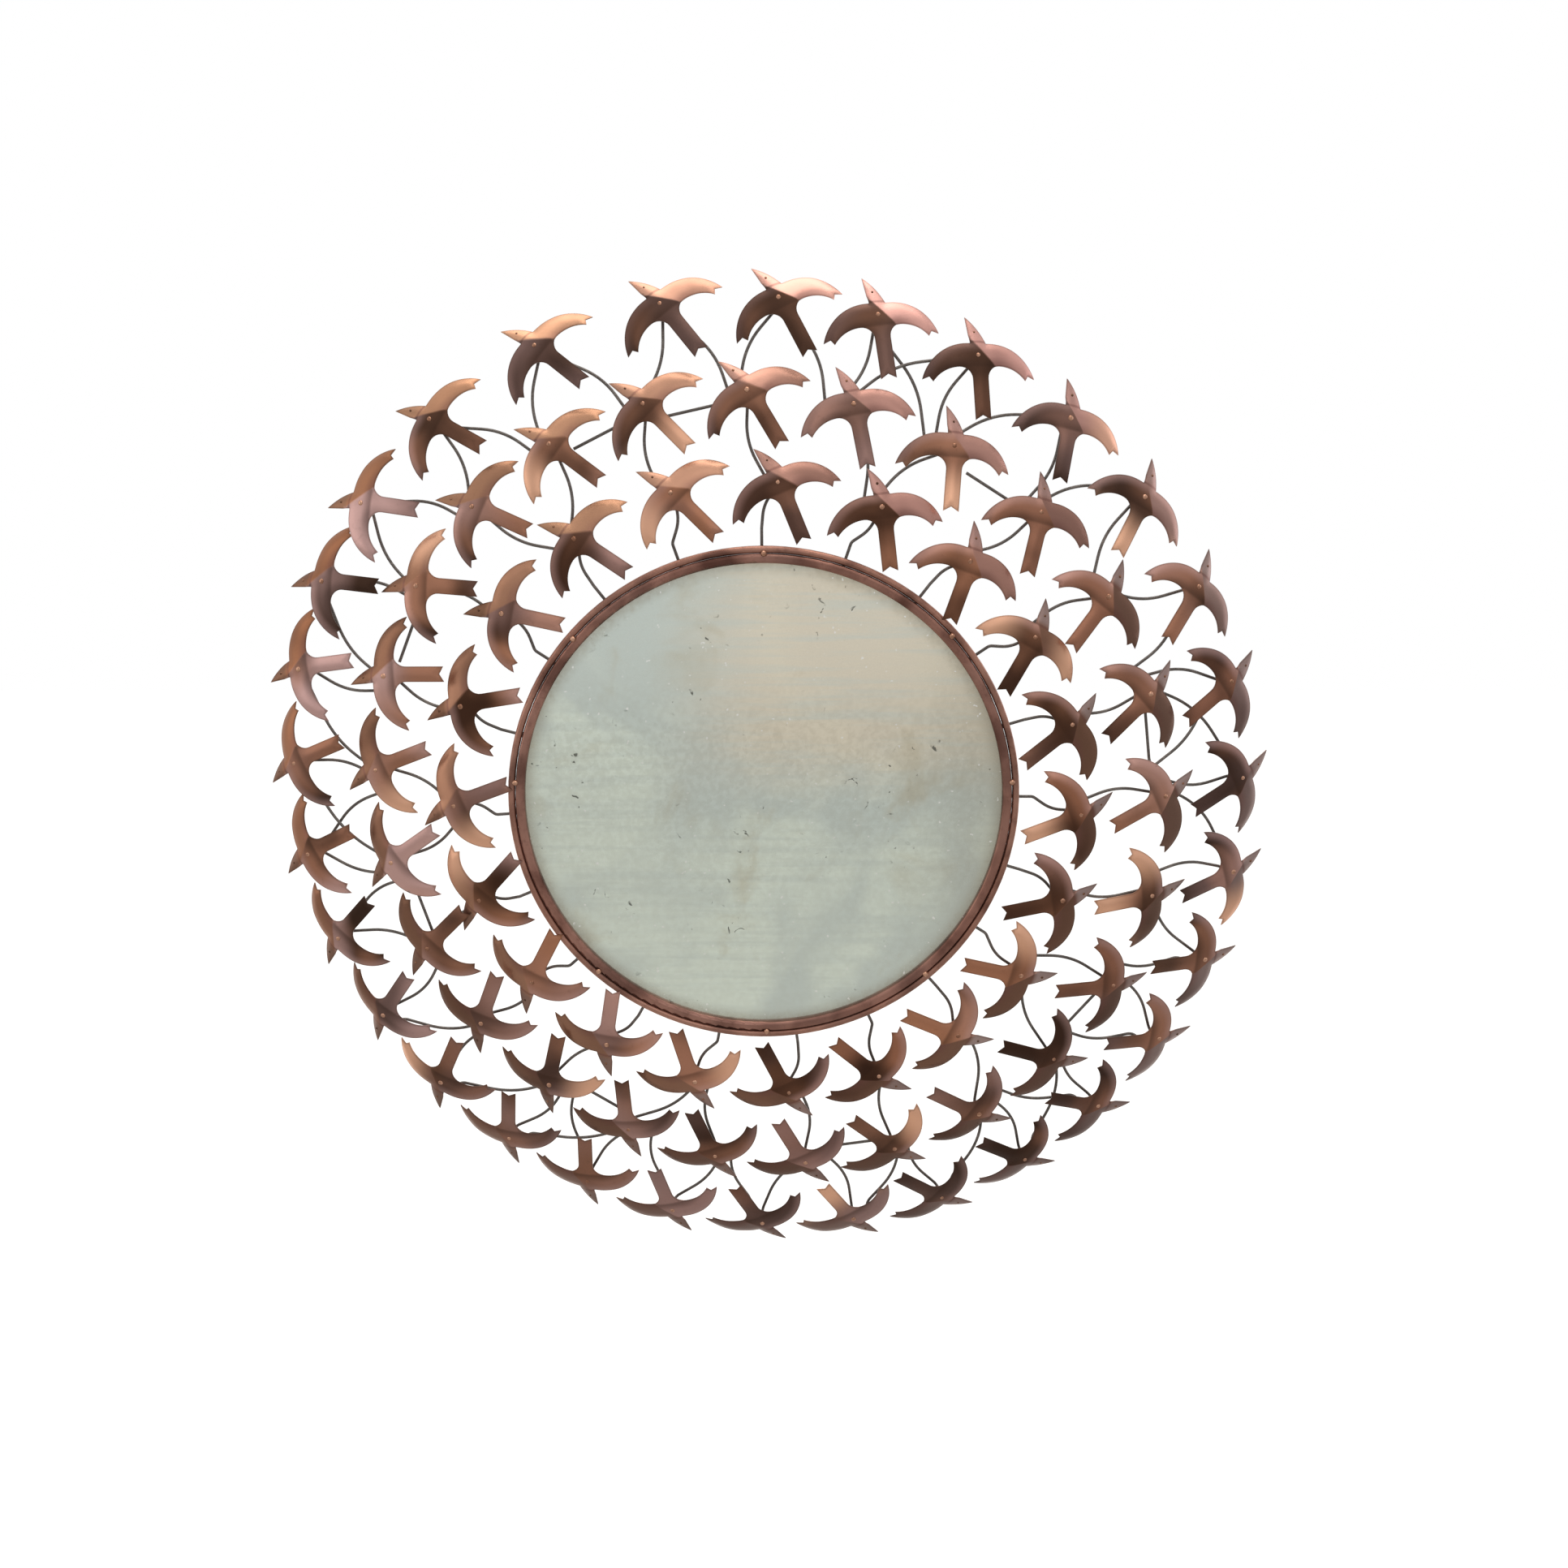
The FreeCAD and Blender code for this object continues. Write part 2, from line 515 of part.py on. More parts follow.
def bird_outline():
    # The flat blank: crescent wings, a forked tail and a head with one straight side.
    lead = size("wing_lead_radius")
    trail = size("wing_trail_radius")
    hollow = size("armpit_radius")
    chest = size("chest")
    lead_side = size("wing_lead_side")
    lead_reach = math.radians(size("wing_lead_reach"))
    trail_reach = math.radians(size("wing_trail_reach"))
    half_tail = amount("tail_width/2")
    root_side = amount("tail_width/2 + armpit_radius")
    root_back = amount("chest - wing_root_width")

    def on_lead(angle, side):
        out = lead_side + lead * math.sin(angle)
        return V(side * out, chest - lead + lead * math.cos(angle), 0)

    def on_trail(angle, side):
        out = root_side + trail * math.sin(angle)
        return V(side * out, root_back - trail + trail * math.cos(angle), 0)

    def on_hollow(angle, side):
        out = root_side - hollow * math.sin(angle)
        return V(side * out, root_back - hollow + hollow * math.cos(angle), 0)

    def arc(curve, first, last, side):
        return Part.Arc(curve(first, side), curve((first + last) / 2, side), curve(last, side)).toShape()

    beak = V(-size("beak_side"), size("beak_length"), 0)
    neck_left = V(-size("neck_straight_side"), chest, 0)
    neck_right = V(size("neck_curved_side"), chest, 0)
    across = V(amount("beak_length - chest"), amount("neck_curved_side + beak_side"), 0).normalize()
    cheek = (neck_right + beak) * 0.5 + across * size("cheek")
    edges = [Part.makeLine(neck_left, beak), Part.Arc(beak, cheek, neck_right).toShape()]
    fork = V(0, size("tail_fork") - size("tail_length"), 0)
    tip_way = (lead_reach + trail_reach) / 2
    for side, neck in ((1, neck_right), (-1, neck_left)):
        front_corner = on_lead(lead_reach, side)
        back_corner = on_trail(trail_reach, side)
        along = V(side * math.cos(tip_way), -math.sin(tip_way), 0)
        cut_in = (front_corner + back_corner) * 0.5 - along * size("wing_notch")
        tail_top = on_hollow(math.pi / 2, side)
        tail_tip = V(side * half_tail, -size("tail_length"), 0)
        edges.append(Part.makeLine(neck, on_lead(0, side)))
        edges.append(arc(on_lead, 0, lead_reach, side))
        edges.append(Part.makeLine(front_corner, cut_in))
        edges.append(Part.makeLine(cut_in, back_corner))
        edges.append(arc(on_trail, trail_reach, 0, side))
        edges.append(arc(on_hollow, 0, math.pi / 2, side))
        edges.append(Part.makeLine(tail_top, tail_tip))
        edges.append(Part.makeLine(tail_tip, fork))
    return Part.Wire(Part.__sortEdges__(edges))


blank = Part.Face(bird_outline()).extrude(V(0, 0, -size("sheet_thickness")))
lean = math.radians(size("crease_angle"))
crease_along = V(math.cos(lean), -math.sin(lean), 0)
crease_across = V(math.sin(lean), math.cos(lean), 0)
crease_spot = V(0, size("crease_ahead"), 0)
span = 2 * amount("wing_lead_radius + tail_length")
half_space = Part.makeBox(2 * span, span, 2 * span, V(-span, 0, -span))
half_space.Placement = FreeCAD.Placement(crease_spot, FreeCAD.Rotation(V(0, 0, 1), -size("crease_angle")))
tail_plate = blank.cut(half_space)
head_plate = blank.common(half_space)
crease_face = min(tail_plate.Faces, key=lambda f: abs((f.CenterOfMass - crease_spot).dot(crease_across)))


def bird(fold):
    # Bends head and one wing back about the crease of a flat blank.
    hinge = crease_spot - V(0, 0, amount("sheet_thickness + crease_radius"))
    turn = FreeCAD.Rotation(crease_along, -fold)
    roll = crease_face.revolve(hinge, crease_along, -fold)
    wing = head_plate.copy()
    wing.Placement = FreeCAD.Placement(hinge - turn.multVec(hinge), turn)
    return tail_plate.fuse([roll, wing]).removeSplitter()


# Each row stands the reach of a turned tail and a clearance outside the ring or the row before it.
tail_reach = size("tail_length") * math.cos(math.radians(size("swing")))
row_radius = {"inner": size("ring_outer_radius") + tail_reach + size("inner_clear")}
row_radius["middle"] = row_radius["inner"] + tail_reach + size("middle_clear")
row_radius["outer"] = row_radius["middle"] + tail_reach + size("outer_clear")
tip_angle = math.radians(size("wing_lead_reach"))
half_span = size("wing_lead_side") + size("wing_lead_radius") * math.sin(tip_angle)


def flock_row(name, level):
    # Clock place, pose and crease of every bird in one row of the dome.
    count = round(2 * math.pi * row_radius[name] / (2 * half_span - size("wing_overlap")))
    poses = []
    for k in range(count):
        hand = math.radians(size("hand_step") * k + size("row_step") * level)
        even = size(name + "_start") + 360.0 * k / count
        place = even + size(name + "_drift") * math.cos(math.radians(even - size(name + "_drift_side")))
        place += size(name + "_stretch") * math.cos(math.radians(2 * (even - size(name + "_stretch_side"))))
        if name == "outer":
            past = (even - size("outer_gap_side") + 180) % 360 - 180
            if abs(past) < size("outer_gap_reach"):
                place += size("outer_gap") * math.sin(math.pi * past / size("outer_gap_reach"))
        fold = size(name + "_fold") + size("fold_spread") * math.cos(hand)
        fold -= size("fold_dip") * math.cos(math.radians(place - size("fold_dip_side")))
        fuller = size(name + "_bulge") * math.cos(math.radians(place - size("bulge_side")))
        longer = size(name + "_oval") * math.cos(math.radians(2 * (place - size("oval_side"))))
        radius = row_radius[name] + fuller + longer
        reach = row_radius["outer"] - size("ring_outer_radius")
        beyond = (radius - size("ring_outer_radius")) / reach
        depth = size("flock_depth") * beyond ** 2
        slope = math.atan(2 * size("flock_depth") * beyond / reach)
        swing = math.radians(size("swing") + size("swing_spread") * math.sin(hand))
        outward = V(0, math.sin(slope), math.cos(slope))
        facing = V(0, -math.cos(slope), math.sin(slope))
        beakward = outward * math.cos(swing) - V(1, 0, 0) * math.sin(swing)
        sideward = V(1, 0, 0) * math.cos(swing) + outward * math.sin(swing)
        spot = V(0, depth - amount(glass_front + " + flock_forward"), radius)
        turn = FreeCAD.Rotation(sideward, beakward, facing, "ZXY")
        pose = clock(place).multiply(FreeCAD.Placement(spot, turn))
        ties = {"branches": [], "parent": None, "second": None}
        poses.append({"place": place % 360, "pose": pose, "fold": fold, **ties})
    return poses


def bent_wire(points, bends):
    # A round wire through the points, each corner bent to a tangent arc as large as its runs allow.
    edges = []
    start = points[0]
    for k in range(1, len(points) - 1):
        back = (points[k - 1] - points[k])
        ahead = (points[k + 1] - points[k])
        room = min(back.Length, ahead.Length) * size("bend_share")
        back.normalize()
        ahead.normalize()
        half_turn = (math.pi - back.getAngle(ahead)) / 2
        reach = min(room, bends[k - 1] * math.tan(half_turn)) if bends[k - 1] else room
        radius = reach / math.tan(half_turn)
        toward = (back + ahead).normalize()
        crown = points[k] + toward * (radius / math.cos(half_turn) - radius)
        edges.append(Part.makeLine(start, points[k] + back * reach))
        edges.append(Part.Arc(points[k] + back * reach, crown, points[k] + ahead * reach).toShape())
        start = points[k] + ahead * reach
    edges.append(Part.makeLine(start, points[-1]))
    path = Part.Wire(edges)
    ring = Part.Wire(Part.makeCircle(amount("wire_diameter/2"), points[0], points[1] - points[0]))
    return path.makePipeShell([ring], True, False)


def on_back(pose, x, y, behind):
    return pose.multVec(V(x, y, -size("sheet_thickness") - behind))


def tie(parent, child, side_end, behind_end, post, lean_side):
    # A wire from the back of one bird, or from the hoop, to the back of the next bird out.
    ends = child["pose"]
    last = on_back(ends, -side_end, -behind_end, 0)
    before = on_back(ends, -side_end, -behind_end, post)
    if parent is None:
        root = clock(child["place"] - size("root_lag"))
        depth = size("root_depth") - amount(glass_front)
        first = root.multVec(V(0, depth, amount(band_outer)))
        after = root.multVec(V(0, depth, amount(band_outer + " + root_run")))
    else:
        side = size("branch_side") + size("branch_step") * parent["branches"].index(child)
        first = on_back(parent["pose"], -side, size("branch_ahead"), 0)
        after = on_back(parent["pose"], -side, size("branch_ahead"), post)
    run = before - after
    facing = ends.Rotation.multVec(V(0, 0, 1))
    sideways = run.cross(facing).normalize()
    middle = (before + after) * 0.5 + sideways * (run.Length * size("wire_bow") * lean_side)
    return bent_wire([first, after, middle, before, last], [size("wire_bend"), 0, size("wire_bend")])


def stem(child, lean_side):
    side, behind = size("stem_side"), size("stem_behind")
    return tie(child["parent"], child, side, behind, size("wire_post"), lean_side)


def link(child):
    # The second wire of a bird, from the middle bird on its other side, bowed away from its stem.
    if ahead_of(child, child["second"]) > 0:
        side, behind = -size("link_tail_side"), size("link_tail_behind")
        return tie(child["second"], child, side, behind, size("link_tail_post"), 1)
    return tie(child["second"], child, size("link_wing_side"), 0, size("wire_post"), -1)


def ahead_of(one, other):
    # Clock angle from one bird on to another.
    return (other["place"] - one["place"] + 180) % 360 - 180


def hang(children, parents, ties):
    # Gives every bird the nearest birds of the row inside it, branches side by side in clock order.
    for child in children:
        near = sorted(parents, key=lambda parent: abs(ahead_of(parent, child)))
        child["parent"] = near[0]
        child["second"] = near[1] if ties > 1 else None
        for parent in near[:ties]:
            parent["branches"].append(child)
    for parent in parents:
        parent["branches"].sort(key=lambda child: -ahead_of(parent, child))


# Three rows of birds on the dome, each row in equal groups round the ring.
group_count = int(size("group_count"))
rows = [(name, flock_row(name, level)) for level, name in enumerate(("inner", "middle", "outer"))]
hang(rows[1][1], rows[0][1], 1)
hang(rows[2][1], rows[1][1], 2)
for name, row in rows:
    for group in range(group_count):
        members = [k for k in range(len(row)) if k * group_count // len(row) == group]
        birds = []
        wires = []
        for k in members:
            shape = bird(row[k]["fold"])
            shape.Placement = row[k]["pose"].multiply(shape.Placement)
            birds.append(shape)
            wires.append(stem(row[k], 1 if k % 2 else -1))
            if row[k]["second"]:
                wires.append(link(row[k]))
        given("%s_birds_%d" % (name, group + 1), Part.makeCompound(birds))
        given("%s_wires_%d" % (name, group + 1), Part.makeCompound(wires))

# Free wire ends left standing past some of the middle birds.
stubs = []
middle_row = rows[1][1]
for k in range(0, len(middle_row), int(size("stub_every"))):
    pose = middle_row[k]["pose"]
    side = size("branch_side") + size("branch_step") * len(middle_row[k]["branches"])
    first = on_back(pose, -side, size("branch_ahead"), 0)
    after = on_back(pose, -side, size("branch_ahead"), size("wire_post"))
    end = on_back(pose, -side - size("stub_run"), amount("branch_ahead + stub_rise"), size("wire_post"))
    stubs.append(bent_wire([first, after, end], [size("wire_bend")]))
given("free_wires", Part.makeCompound(stubs))

doc.recompute()
os.makedirs("parts", exist_ok=True)
for thing in pieces:
    if "Invalid" in thing.State or "Error" in thing.State:
        raise RuntimeError("%s did not build" % thing.Label)
    if thing.Shape.isNull() or not thing.Shape.isValid():
        raise RuntimeError("%s has a bad shape" % thing.Label)
    thing.Shape.exportStep("parts/%s.step" % thing.Label)
    print(thing.Label, len(thing.Shape.Solids), "solids", round(thing.Shape.Volume / 1000, 2), "cm3")
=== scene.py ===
import math
import bpy
import numpy as np
from mathutils import Matrix, Vector
from mathutils.geometry import delaunay_2d_cdt


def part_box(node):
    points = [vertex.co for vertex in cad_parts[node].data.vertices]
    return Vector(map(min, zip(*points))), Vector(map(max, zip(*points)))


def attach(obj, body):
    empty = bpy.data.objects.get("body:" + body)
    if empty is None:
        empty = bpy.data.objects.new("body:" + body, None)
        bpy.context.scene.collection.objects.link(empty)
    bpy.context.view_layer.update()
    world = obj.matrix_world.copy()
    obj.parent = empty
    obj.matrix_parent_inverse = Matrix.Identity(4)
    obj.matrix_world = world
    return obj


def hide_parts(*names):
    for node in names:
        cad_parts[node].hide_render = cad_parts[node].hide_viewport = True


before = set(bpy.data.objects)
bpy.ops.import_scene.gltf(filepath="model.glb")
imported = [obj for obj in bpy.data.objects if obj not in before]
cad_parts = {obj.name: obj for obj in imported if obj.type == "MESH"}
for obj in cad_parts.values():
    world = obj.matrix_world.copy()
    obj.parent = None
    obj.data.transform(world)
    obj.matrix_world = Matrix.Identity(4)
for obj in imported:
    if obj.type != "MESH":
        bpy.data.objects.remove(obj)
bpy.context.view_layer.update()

scene = bpy.context.scene
mm = 0.001
print("frame loaded, nodes:", len(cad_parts))


# node helpers, shared by shaders and geometry trees

def put(tree, kind, feeds=None, **settings):
    node = tree.nodes.new(kind)
    for key, value in settings.items():
        setattr(node, key, value)
    for key, value in (feeds or {}).items():
        if isinstance(value, bpy.types.NodeSocket):
            tree.links.new(value, node.inputs[key])
        else:
            node.inputs[key].default_value = value
    return node


def calc(tree, operation, *values, clamp=False):
    feeds = dict(enumerate(values))
    return put(tree, "ShaderNodeMath", feeds, operation=operation, use_clamp=clamp).outputs[0]


def plus(tree, one, other):
    return calc(tree, "ADD", one, other)


def minus(tree, one, other):
    return calc(tree, "SUBTRACT", one, other)


def times(tree, one, other):
    return calc(tree, "MULTIPLY", one, other)


def pairSum(tree, a, b, c, d):
    # a * b + c * d
    return plus(tree, times(tree, a, b), times(tree, c, d))


def vec(tree, operation, *values):
    node = put(tree, "ShaderNodeVectorMath", dict(enumerate(values)), operation=operation)
    return node.outputs["Value" if operation == "LENGTH" else "Vector"]


def joined(tree, x, y, z):
    return put(tree, "ShaderNodeCombineXYZ", {0: x, 1: y, 2: z}).outputs[0]


def split(tree, vector):
    return put(tree, "ShaderNodeSeparateXYZ", {0: vector}).outputs


def spread(tree, value, low, high, toLow=0.0, toHigh=1.0):
    # smooth step from one range to another
    feeds = {"Value": value, "From Min": low, "From Max": high, "To Min": toLow, "To Max": toHigh}
    return put(tree, "ShaderNodeMapRange", feeds, interpolation_type="SMOOTHSTEP").outputs["Result"]


def noise(tree, position, scale, detail, rough, twist=0.0):
    feeds = {"Vector": position, "Scale": scale, "Detail": detail, "Roughness": rough, "Distortion": twist}
    return put(tree, "ShaderNodeTexNoise", feeds).outputs["Fac"]


def blendColor(tree, share, low, high, mode="MIX"):
    feeds = {0: share, 6: low, 7: high}
    return put(tree, "ShaderNodeMix", feeds, data_type="RGBA", blend_type=mode).outputs[2]


def layered(tree, color, *layers):
    # each layer is its share and its colour
    for share, over in layers:
        color = blendColor(tree, share, color, over)
    return color


def rgb(red, green, blue):
    # screen colour, 0 to 255, to the linear colour that a socket takes
    parts = [c / 255 for c in (red, green, blue)]
    return tuple(c / 12.92 if c <= 0.04045 else ((c + 0.055) / 1.055) ** 2.4 for c in parts) + (1.0,)


def newTree(kind, name, inputs, outputs):
    tree = bpy.data.node_groups.new(name, kind + "NodeTree")
    for label, socketKind, *value in inputs:
        socket = tree.interface.new_socket(label, in_out="INPUT", socket_type="NodeSocket" + socketKind)
        if value:
            socket.default_value = value[0]
    for label, socketKind in outputs:
        tree.interface.new_socket(label, in_out="OUTPUT", socket_type="NodeSocket" + socketKind)
    return tree, tree.nodes.new("NodeGroupInput").outputs, tree.nodes.new("NodeGroupOutput").inputs


def useGroup(tree, group, feeds):
    return put(tree, "ShaderNodeGroup", feeds, node_tree=group).outputs


def newMaterial(name, constants=None):
    material = bpy.data.materials.new(name)
    material.use_nodes = True
    tree = material.node_tree
    shader = tree.nodes["Principled BSDF"]
    for key, value in (constants or {}).items():
        shader.inputs[key].default_value = value
    return material, tree, shader


def objectSpot(tree):
    return tree.nodes.new("ShaderNodeTexCoord").outputs["Object"]


def readAttribute(tree, name, output="Fac"):
    return put(tree, "ShaderNodeAttribute", attribute_name=name).outputs[output]


def paint(tree, shader, color, rough, height, relief):
    # relief is the depth of the bumps and their strength
    depth, strength = relief
    bump = put(tree, "ShaderNodeBump", {"Height": height, "Distance": depth, "Strength": strength})
    for label, value in (("Base Color", color), ("Roughness", rough), ("Normal", bump.outputs[0])):
        tree.links.new(value, shader.inputs[label])


# shared finishes; a noise is its scale, detail, roughness and twist, a range is from low to high

patina = {"shift": (7.31, 3.17, 5.03),  # how the seed moves the pattern
          # these scales are shares of the group's Scale
          "cloud": (1.0, 2.0, 0.4, 0.3), "tint": (0.7, 1.0, 0.5, 0.4), "grit": (14.0, 4.0, 0.6),
          "dents": (3.4, 1.0, 0.4), "edge": (-0.14, 0.2), "pink": (0.4, 0.66),
          "specks": (0.58, 0.76, 0.0, 0.14), "rough": 0.38, "polishAndPaintedTopLight": -0.08, "gritRough": 0.1}


def makeHeatedCopper():
    tree, take, give = newTree("Shader", "heatedCopper", [
        ("Position", "Vector"), ("Seed", "Float"), ("Scale", "Float"), ("Oxide", "Color"),
        ("Copper", "Color"), ("Blush", "Color"), ("Blush share", "Float"), ("Dark share", "Float")],
        [("Color", "Color"), ("Rough", "Float"), ("Height", "Float")])
    shift = joined(tree, *(times(tree, take["Seed"], s) for s in patina["shift"]))
    moved = vec(tree, "ADD", take["Position"], shift)

    def layer(key):
        share, *rest = patina[key]
        return noise(tree, moved, times(tree, take["Scale"], share), *rest)

    grit = layer("grit")
    bright = spread(tree, layer("cloud"), *(plus(tree, take["Dark share"], e) for e in patina["edge"]))
    pink = times(tree, spread(tree, layer("tint"), *patina["pink"]), take["Blush share"])
    specks = spread(tree, grit, *patina["specks"])
    color = layered(tree, take["Oxide"], (bright, take["Copper"]), (pink, take["Blush"]),
                    (specks, take["Oxide"]))
    wearAndPaintedLight = plus(tree, times(tree, bright, patina["polishAndPaintedTopLight"]), patina["rough"])
    tree.links.new(color, give["Color"])
    tree.links.new(plus(tree, wearAndPaintedLight, times(tree, grit, patina["gritRough"])), give["Rough"])
    tree.links.new(layer("dents"), give["Height"])
    return tree


scratches = {"stretch": (1.0, 1.0, 14.0), "lines": (4.0, 0.7), "mask": (0.48, 0.72), "cloudShare": 0.3,
             "cloud": (3.0, 0.5)}


def makeScratches():
    tree, take, give = newTree("Shader", "fineScratches", [
        ("Position", "Vector"), ("Scale", "Float"), ("Stretch", "Vector", scratches["stretch"])],
        [("Mask", "Float"), ("Cloud", "Float")])
    drawn = vec(tree, "MULTIPLY", take["Position"], take["Stretch"])
    lines = noise(tree, drawn, take["Scale"], *scratches["lines"])
    wide = times(tree, take["Scale"], scratches["cloudShare"])
    tree.links.new(spread(tree, lines, *scratches["mask"]), give["Mask"])
    tree.links.new(noise(tree, take["Position"], wide, *scratches["cloud"]), give["Cloud"])
    return tree


grain = {"bands": (3.2, 3.0, 0.55, 1.6), "fibreStretch": (1.0, 9.0, 9.0), "fibre": (5.0, 3.0, 0.6),
         "bandShare": 0.75, "fibreShare": 0.3, "late": (0.36, 0.7)}


def makeGrain():
    tree, take, give = newTree("Shader", "woodGrain", [
        ("Position", "Vector"), ("Along", "Vector"), ("Early", "Color"), ("Late", "Color")],
        [("Color", "Color"), ("Height", "Float")])
    drawn = vec(tree, "MULTIPLY", take["Position"], take["Along"])
    bands = noise(tree, drawn, *grain["bands"])
    fibre = noise(tree, vec(tree, "MULTIPLY", drawn, grain["fibreStretch"]), *grain["fibre"])
    mix = pairSum(tree, bands, grain["bandShare"], fibre, grain["fibreShare"])
    color = blendColor(tree, spread(tree, mix, *grain["late"]), take["Early"], take["Late"])
    tree.links.new(color, give["Color"])
    tree.links.new(mix, give["Height"])
    return tree


heatedCopper = makeHeatedCopper()
fineScratches = makeScratches()
woodGrain = makeGrain()
print("shared finishes made")


# the flock, by the same rule that the solids follow; sizes in mm and degrees

birdSizes = {"leadRadius": 45.2, "leadSide": 12.6, "leadReach": 74, "trailRadius": 32.6, "trailReach": 53.5,
             "rootWidth": 22.1, "notch": 4, "chest": 10.2, "armpit": 12, "tailWidth": 15, "tailLength": 63,
             "tailFork": 4.5, "beak": (-10.5, 36), "neckLeft": 8.3, "neckRight": 8, "cheek": 2,
             "creaseAngle": 50, "creaseAhead": 3.7, "creaseRadius": 5, "creaseWidth": 1.8, "wingReach": 44,
             "sheet": 1, "dome": 1.6, "domeWidth": 9, "hammer": 0.4, "hammerScale": 60.0,
             "hammerNoise": (1.0, 0.4), "hammerLevel": 0.62, "hammerShift": 0.37,
             "tipDroop": 3, "tipFrom": 32, "tipReach": 24, "sharp": 42}
blankSizes = {"step": 2.6, "grid": 3.0, "creaseRows": 4, "creaseStep": 2.4, "creaseSteps": 30,
              "creaseClear": 1.2, "edgeClear": 1.1, "tailLead": 0.4}
flockSizes = {"axisDrop": 150, "ringRadius": 250, "faceDepth": 85, "depth": 45, "swing": 25,
              "swingSpread": 4.5, "foldSpread": 4, "foldDip": 6, "foldDipSide": 115, "handStep": 137.5,
              "rowStep": 60, "bulgeSide": 98, "ovalSide": 144, "gap": 2.6, "gapSide": 336.5, "gapReach": 40,
              "groups": 5, "shineSide": 0, "coolSide": 115, "seedStep": 0.61803, "seedSpread": 9}
rowSizes = {
    "inner": {"level": 0, "count": 20, "clear": 4.4, "bulge": 3.5, "oval": 6, "start": 0, "drift": 4.2,
              "driftSide": 32, "stretch": 1, "stretchSide": 85, "fold": 16},
    "middle": {"level": 1, "count": 25, "clear": 25.2, "bulge": 8, "oval": 12.5, "start": 0.75, "drift": 2.4,
               "driftSide": 127, "stretch": 1.7, "stretchSide": 104, "fold": 15},
    "outer": {"level": 2, "count": 30, "clear": 26.5, "bulge": 6, "oval": 12.8, "start": 0.45, "drift": 3.8,
              "driftSide": 98, "stretch": 0.95, "stretchSide": 69, "fold": 15}}


def wave(angle):
    return math.cos(math.radians(angle))


def rise(angle):
    return math.sin(math.radians(angle))


rowRadius, lastRadius = {}, flockSizes["ringRadius"]
for rowName, row in rowSizes.items():
    lastRadius += birdSizes["tailLength"] * wave(flockSizes["swing"]) + row["clear"]
    rowRadius[rowName] = lastRadius


def birdPose(name, k):
    row, flock = rowSizes[name], flockSizes
    hand = flock["handStep"] * k + flock["rowStep"] * row["level"]
    even = row["start"] + 360 * k / row["count"]
    place = even + row["drift"] * wave(even - row["driftSide"])
    place += row["stretch"] * wave(2 * (even - row["stretchSide"]))
    if name == "outer":
        past = (even - flock["gapSide"] + 180) % 360 - 180
        if abs(past) < flock["gapReach"]:
            place += flock["gap"] * rise(180 * past / flock["gapReach"])
    fold = row["fold"] + flock["foldSpread"] * wave(hand)
    fold -= flock["foldDip"] * wave(place - flock["foldDipSide"])
    radius = rowRadius[name] + row["bulge"] * wave(place - flock["bulgeSide"])
    radius += row["oval"] * wave(2 * (place - flock["ovalSide"]))
    reach = rowRadius["outer"] - flock["ringRadius"]
    beyond = (radius - flock["ringRadius"]) / reach
    slope = math.atan(2 * flock["depth"] * beyond / reach)
    swing = math.radians(flock["swing"] + flock["swingSpread"] * rise(hand))
    outward = Vector((0, math.sin(slope), math.cos(slope)))
    facing = Vector((0, -math.cos(slope), math.sin(slope)))
    across = Vector((1, 0, 0))
    beakward = outward * math.cos(swing) - across * math.sin(swing)
    sideward = across * math.cos(swing) + outward * math.sin(swing)
    clock = Matrix.Rotation(math.radians(place), 3, "Y")
    turn = clock @ Matrix((sideward, beakward, facing)).transposed()
    spot = clock @ Vector((0, flock["depth"] * beyond ** 2 - flock["faceDepth"], radius))
    spot.z -= flock["axisDrop"]
    return {"place": place % 360, "spot": spot, "turn": turn, "fold": math.radians(fold),
            "seed": (hand * flock["seedStep"]) % 1.0 * flock["seedSpread"] + row["level"],
            # shine is 1 at the top of the flock and cool on its right; they place painted light and shade
            "shine": 0.5 + 0.5 * wave(place - flock["shineSide"]),
            "cool": 0.5 + 0.5 * wave(place - flock["coolSide"])}


# the arc of the crease keeps the bent wing as long as the solid's
birdStretch = birdSizes["wingReach"] / (birdSizes["wingReach"] - birdSizes["creaseWidth"])
flocks = {name: [birdPose(name, k) for k in range(row["count"])] for name, row in rowSizes.items()}
allPoses = [p for poses in flocks.values() for p in poses]


def byCrease(x, y):
    # place along the crease and distance past it of a point of the flat blank
    angle, ahead = birdSizes["creaseAngle"], y - birdSizes["creaseAhead"]
    return x * wave(angle) - ahead * rise(angle), x * rise(angle) + ahead * wave(angle)


def fromCrease(along, over):
    angle = birdSizes["creaseAngle"]
    return (along * wave(angle) + over * rise(angle),
            birdSizes["creaseAhead"] - along * rise(angle) + over * wave(angle))


def foldPoint(x, y, z, fold):
    # bends a point of the flat blank about the crease
    along, over = byCrease(x, y)
    hinge = birdSizes["sheet"] + birdSizes["creaseRadius"]
    if over > 0:
        width = birdSizes["creaseWidth"]
        angle = fold * min(over / width, 1)
        extra = max(over - width, 0) * birdStretch
        over = (hinge + z) * math.sin(angle) + extra * math.cos(angle)
        z = (hinge + z) * math.cos(angle) - hinge - extra * math.sin(angle)
    return Vector((*fromCrease(along, over), z))


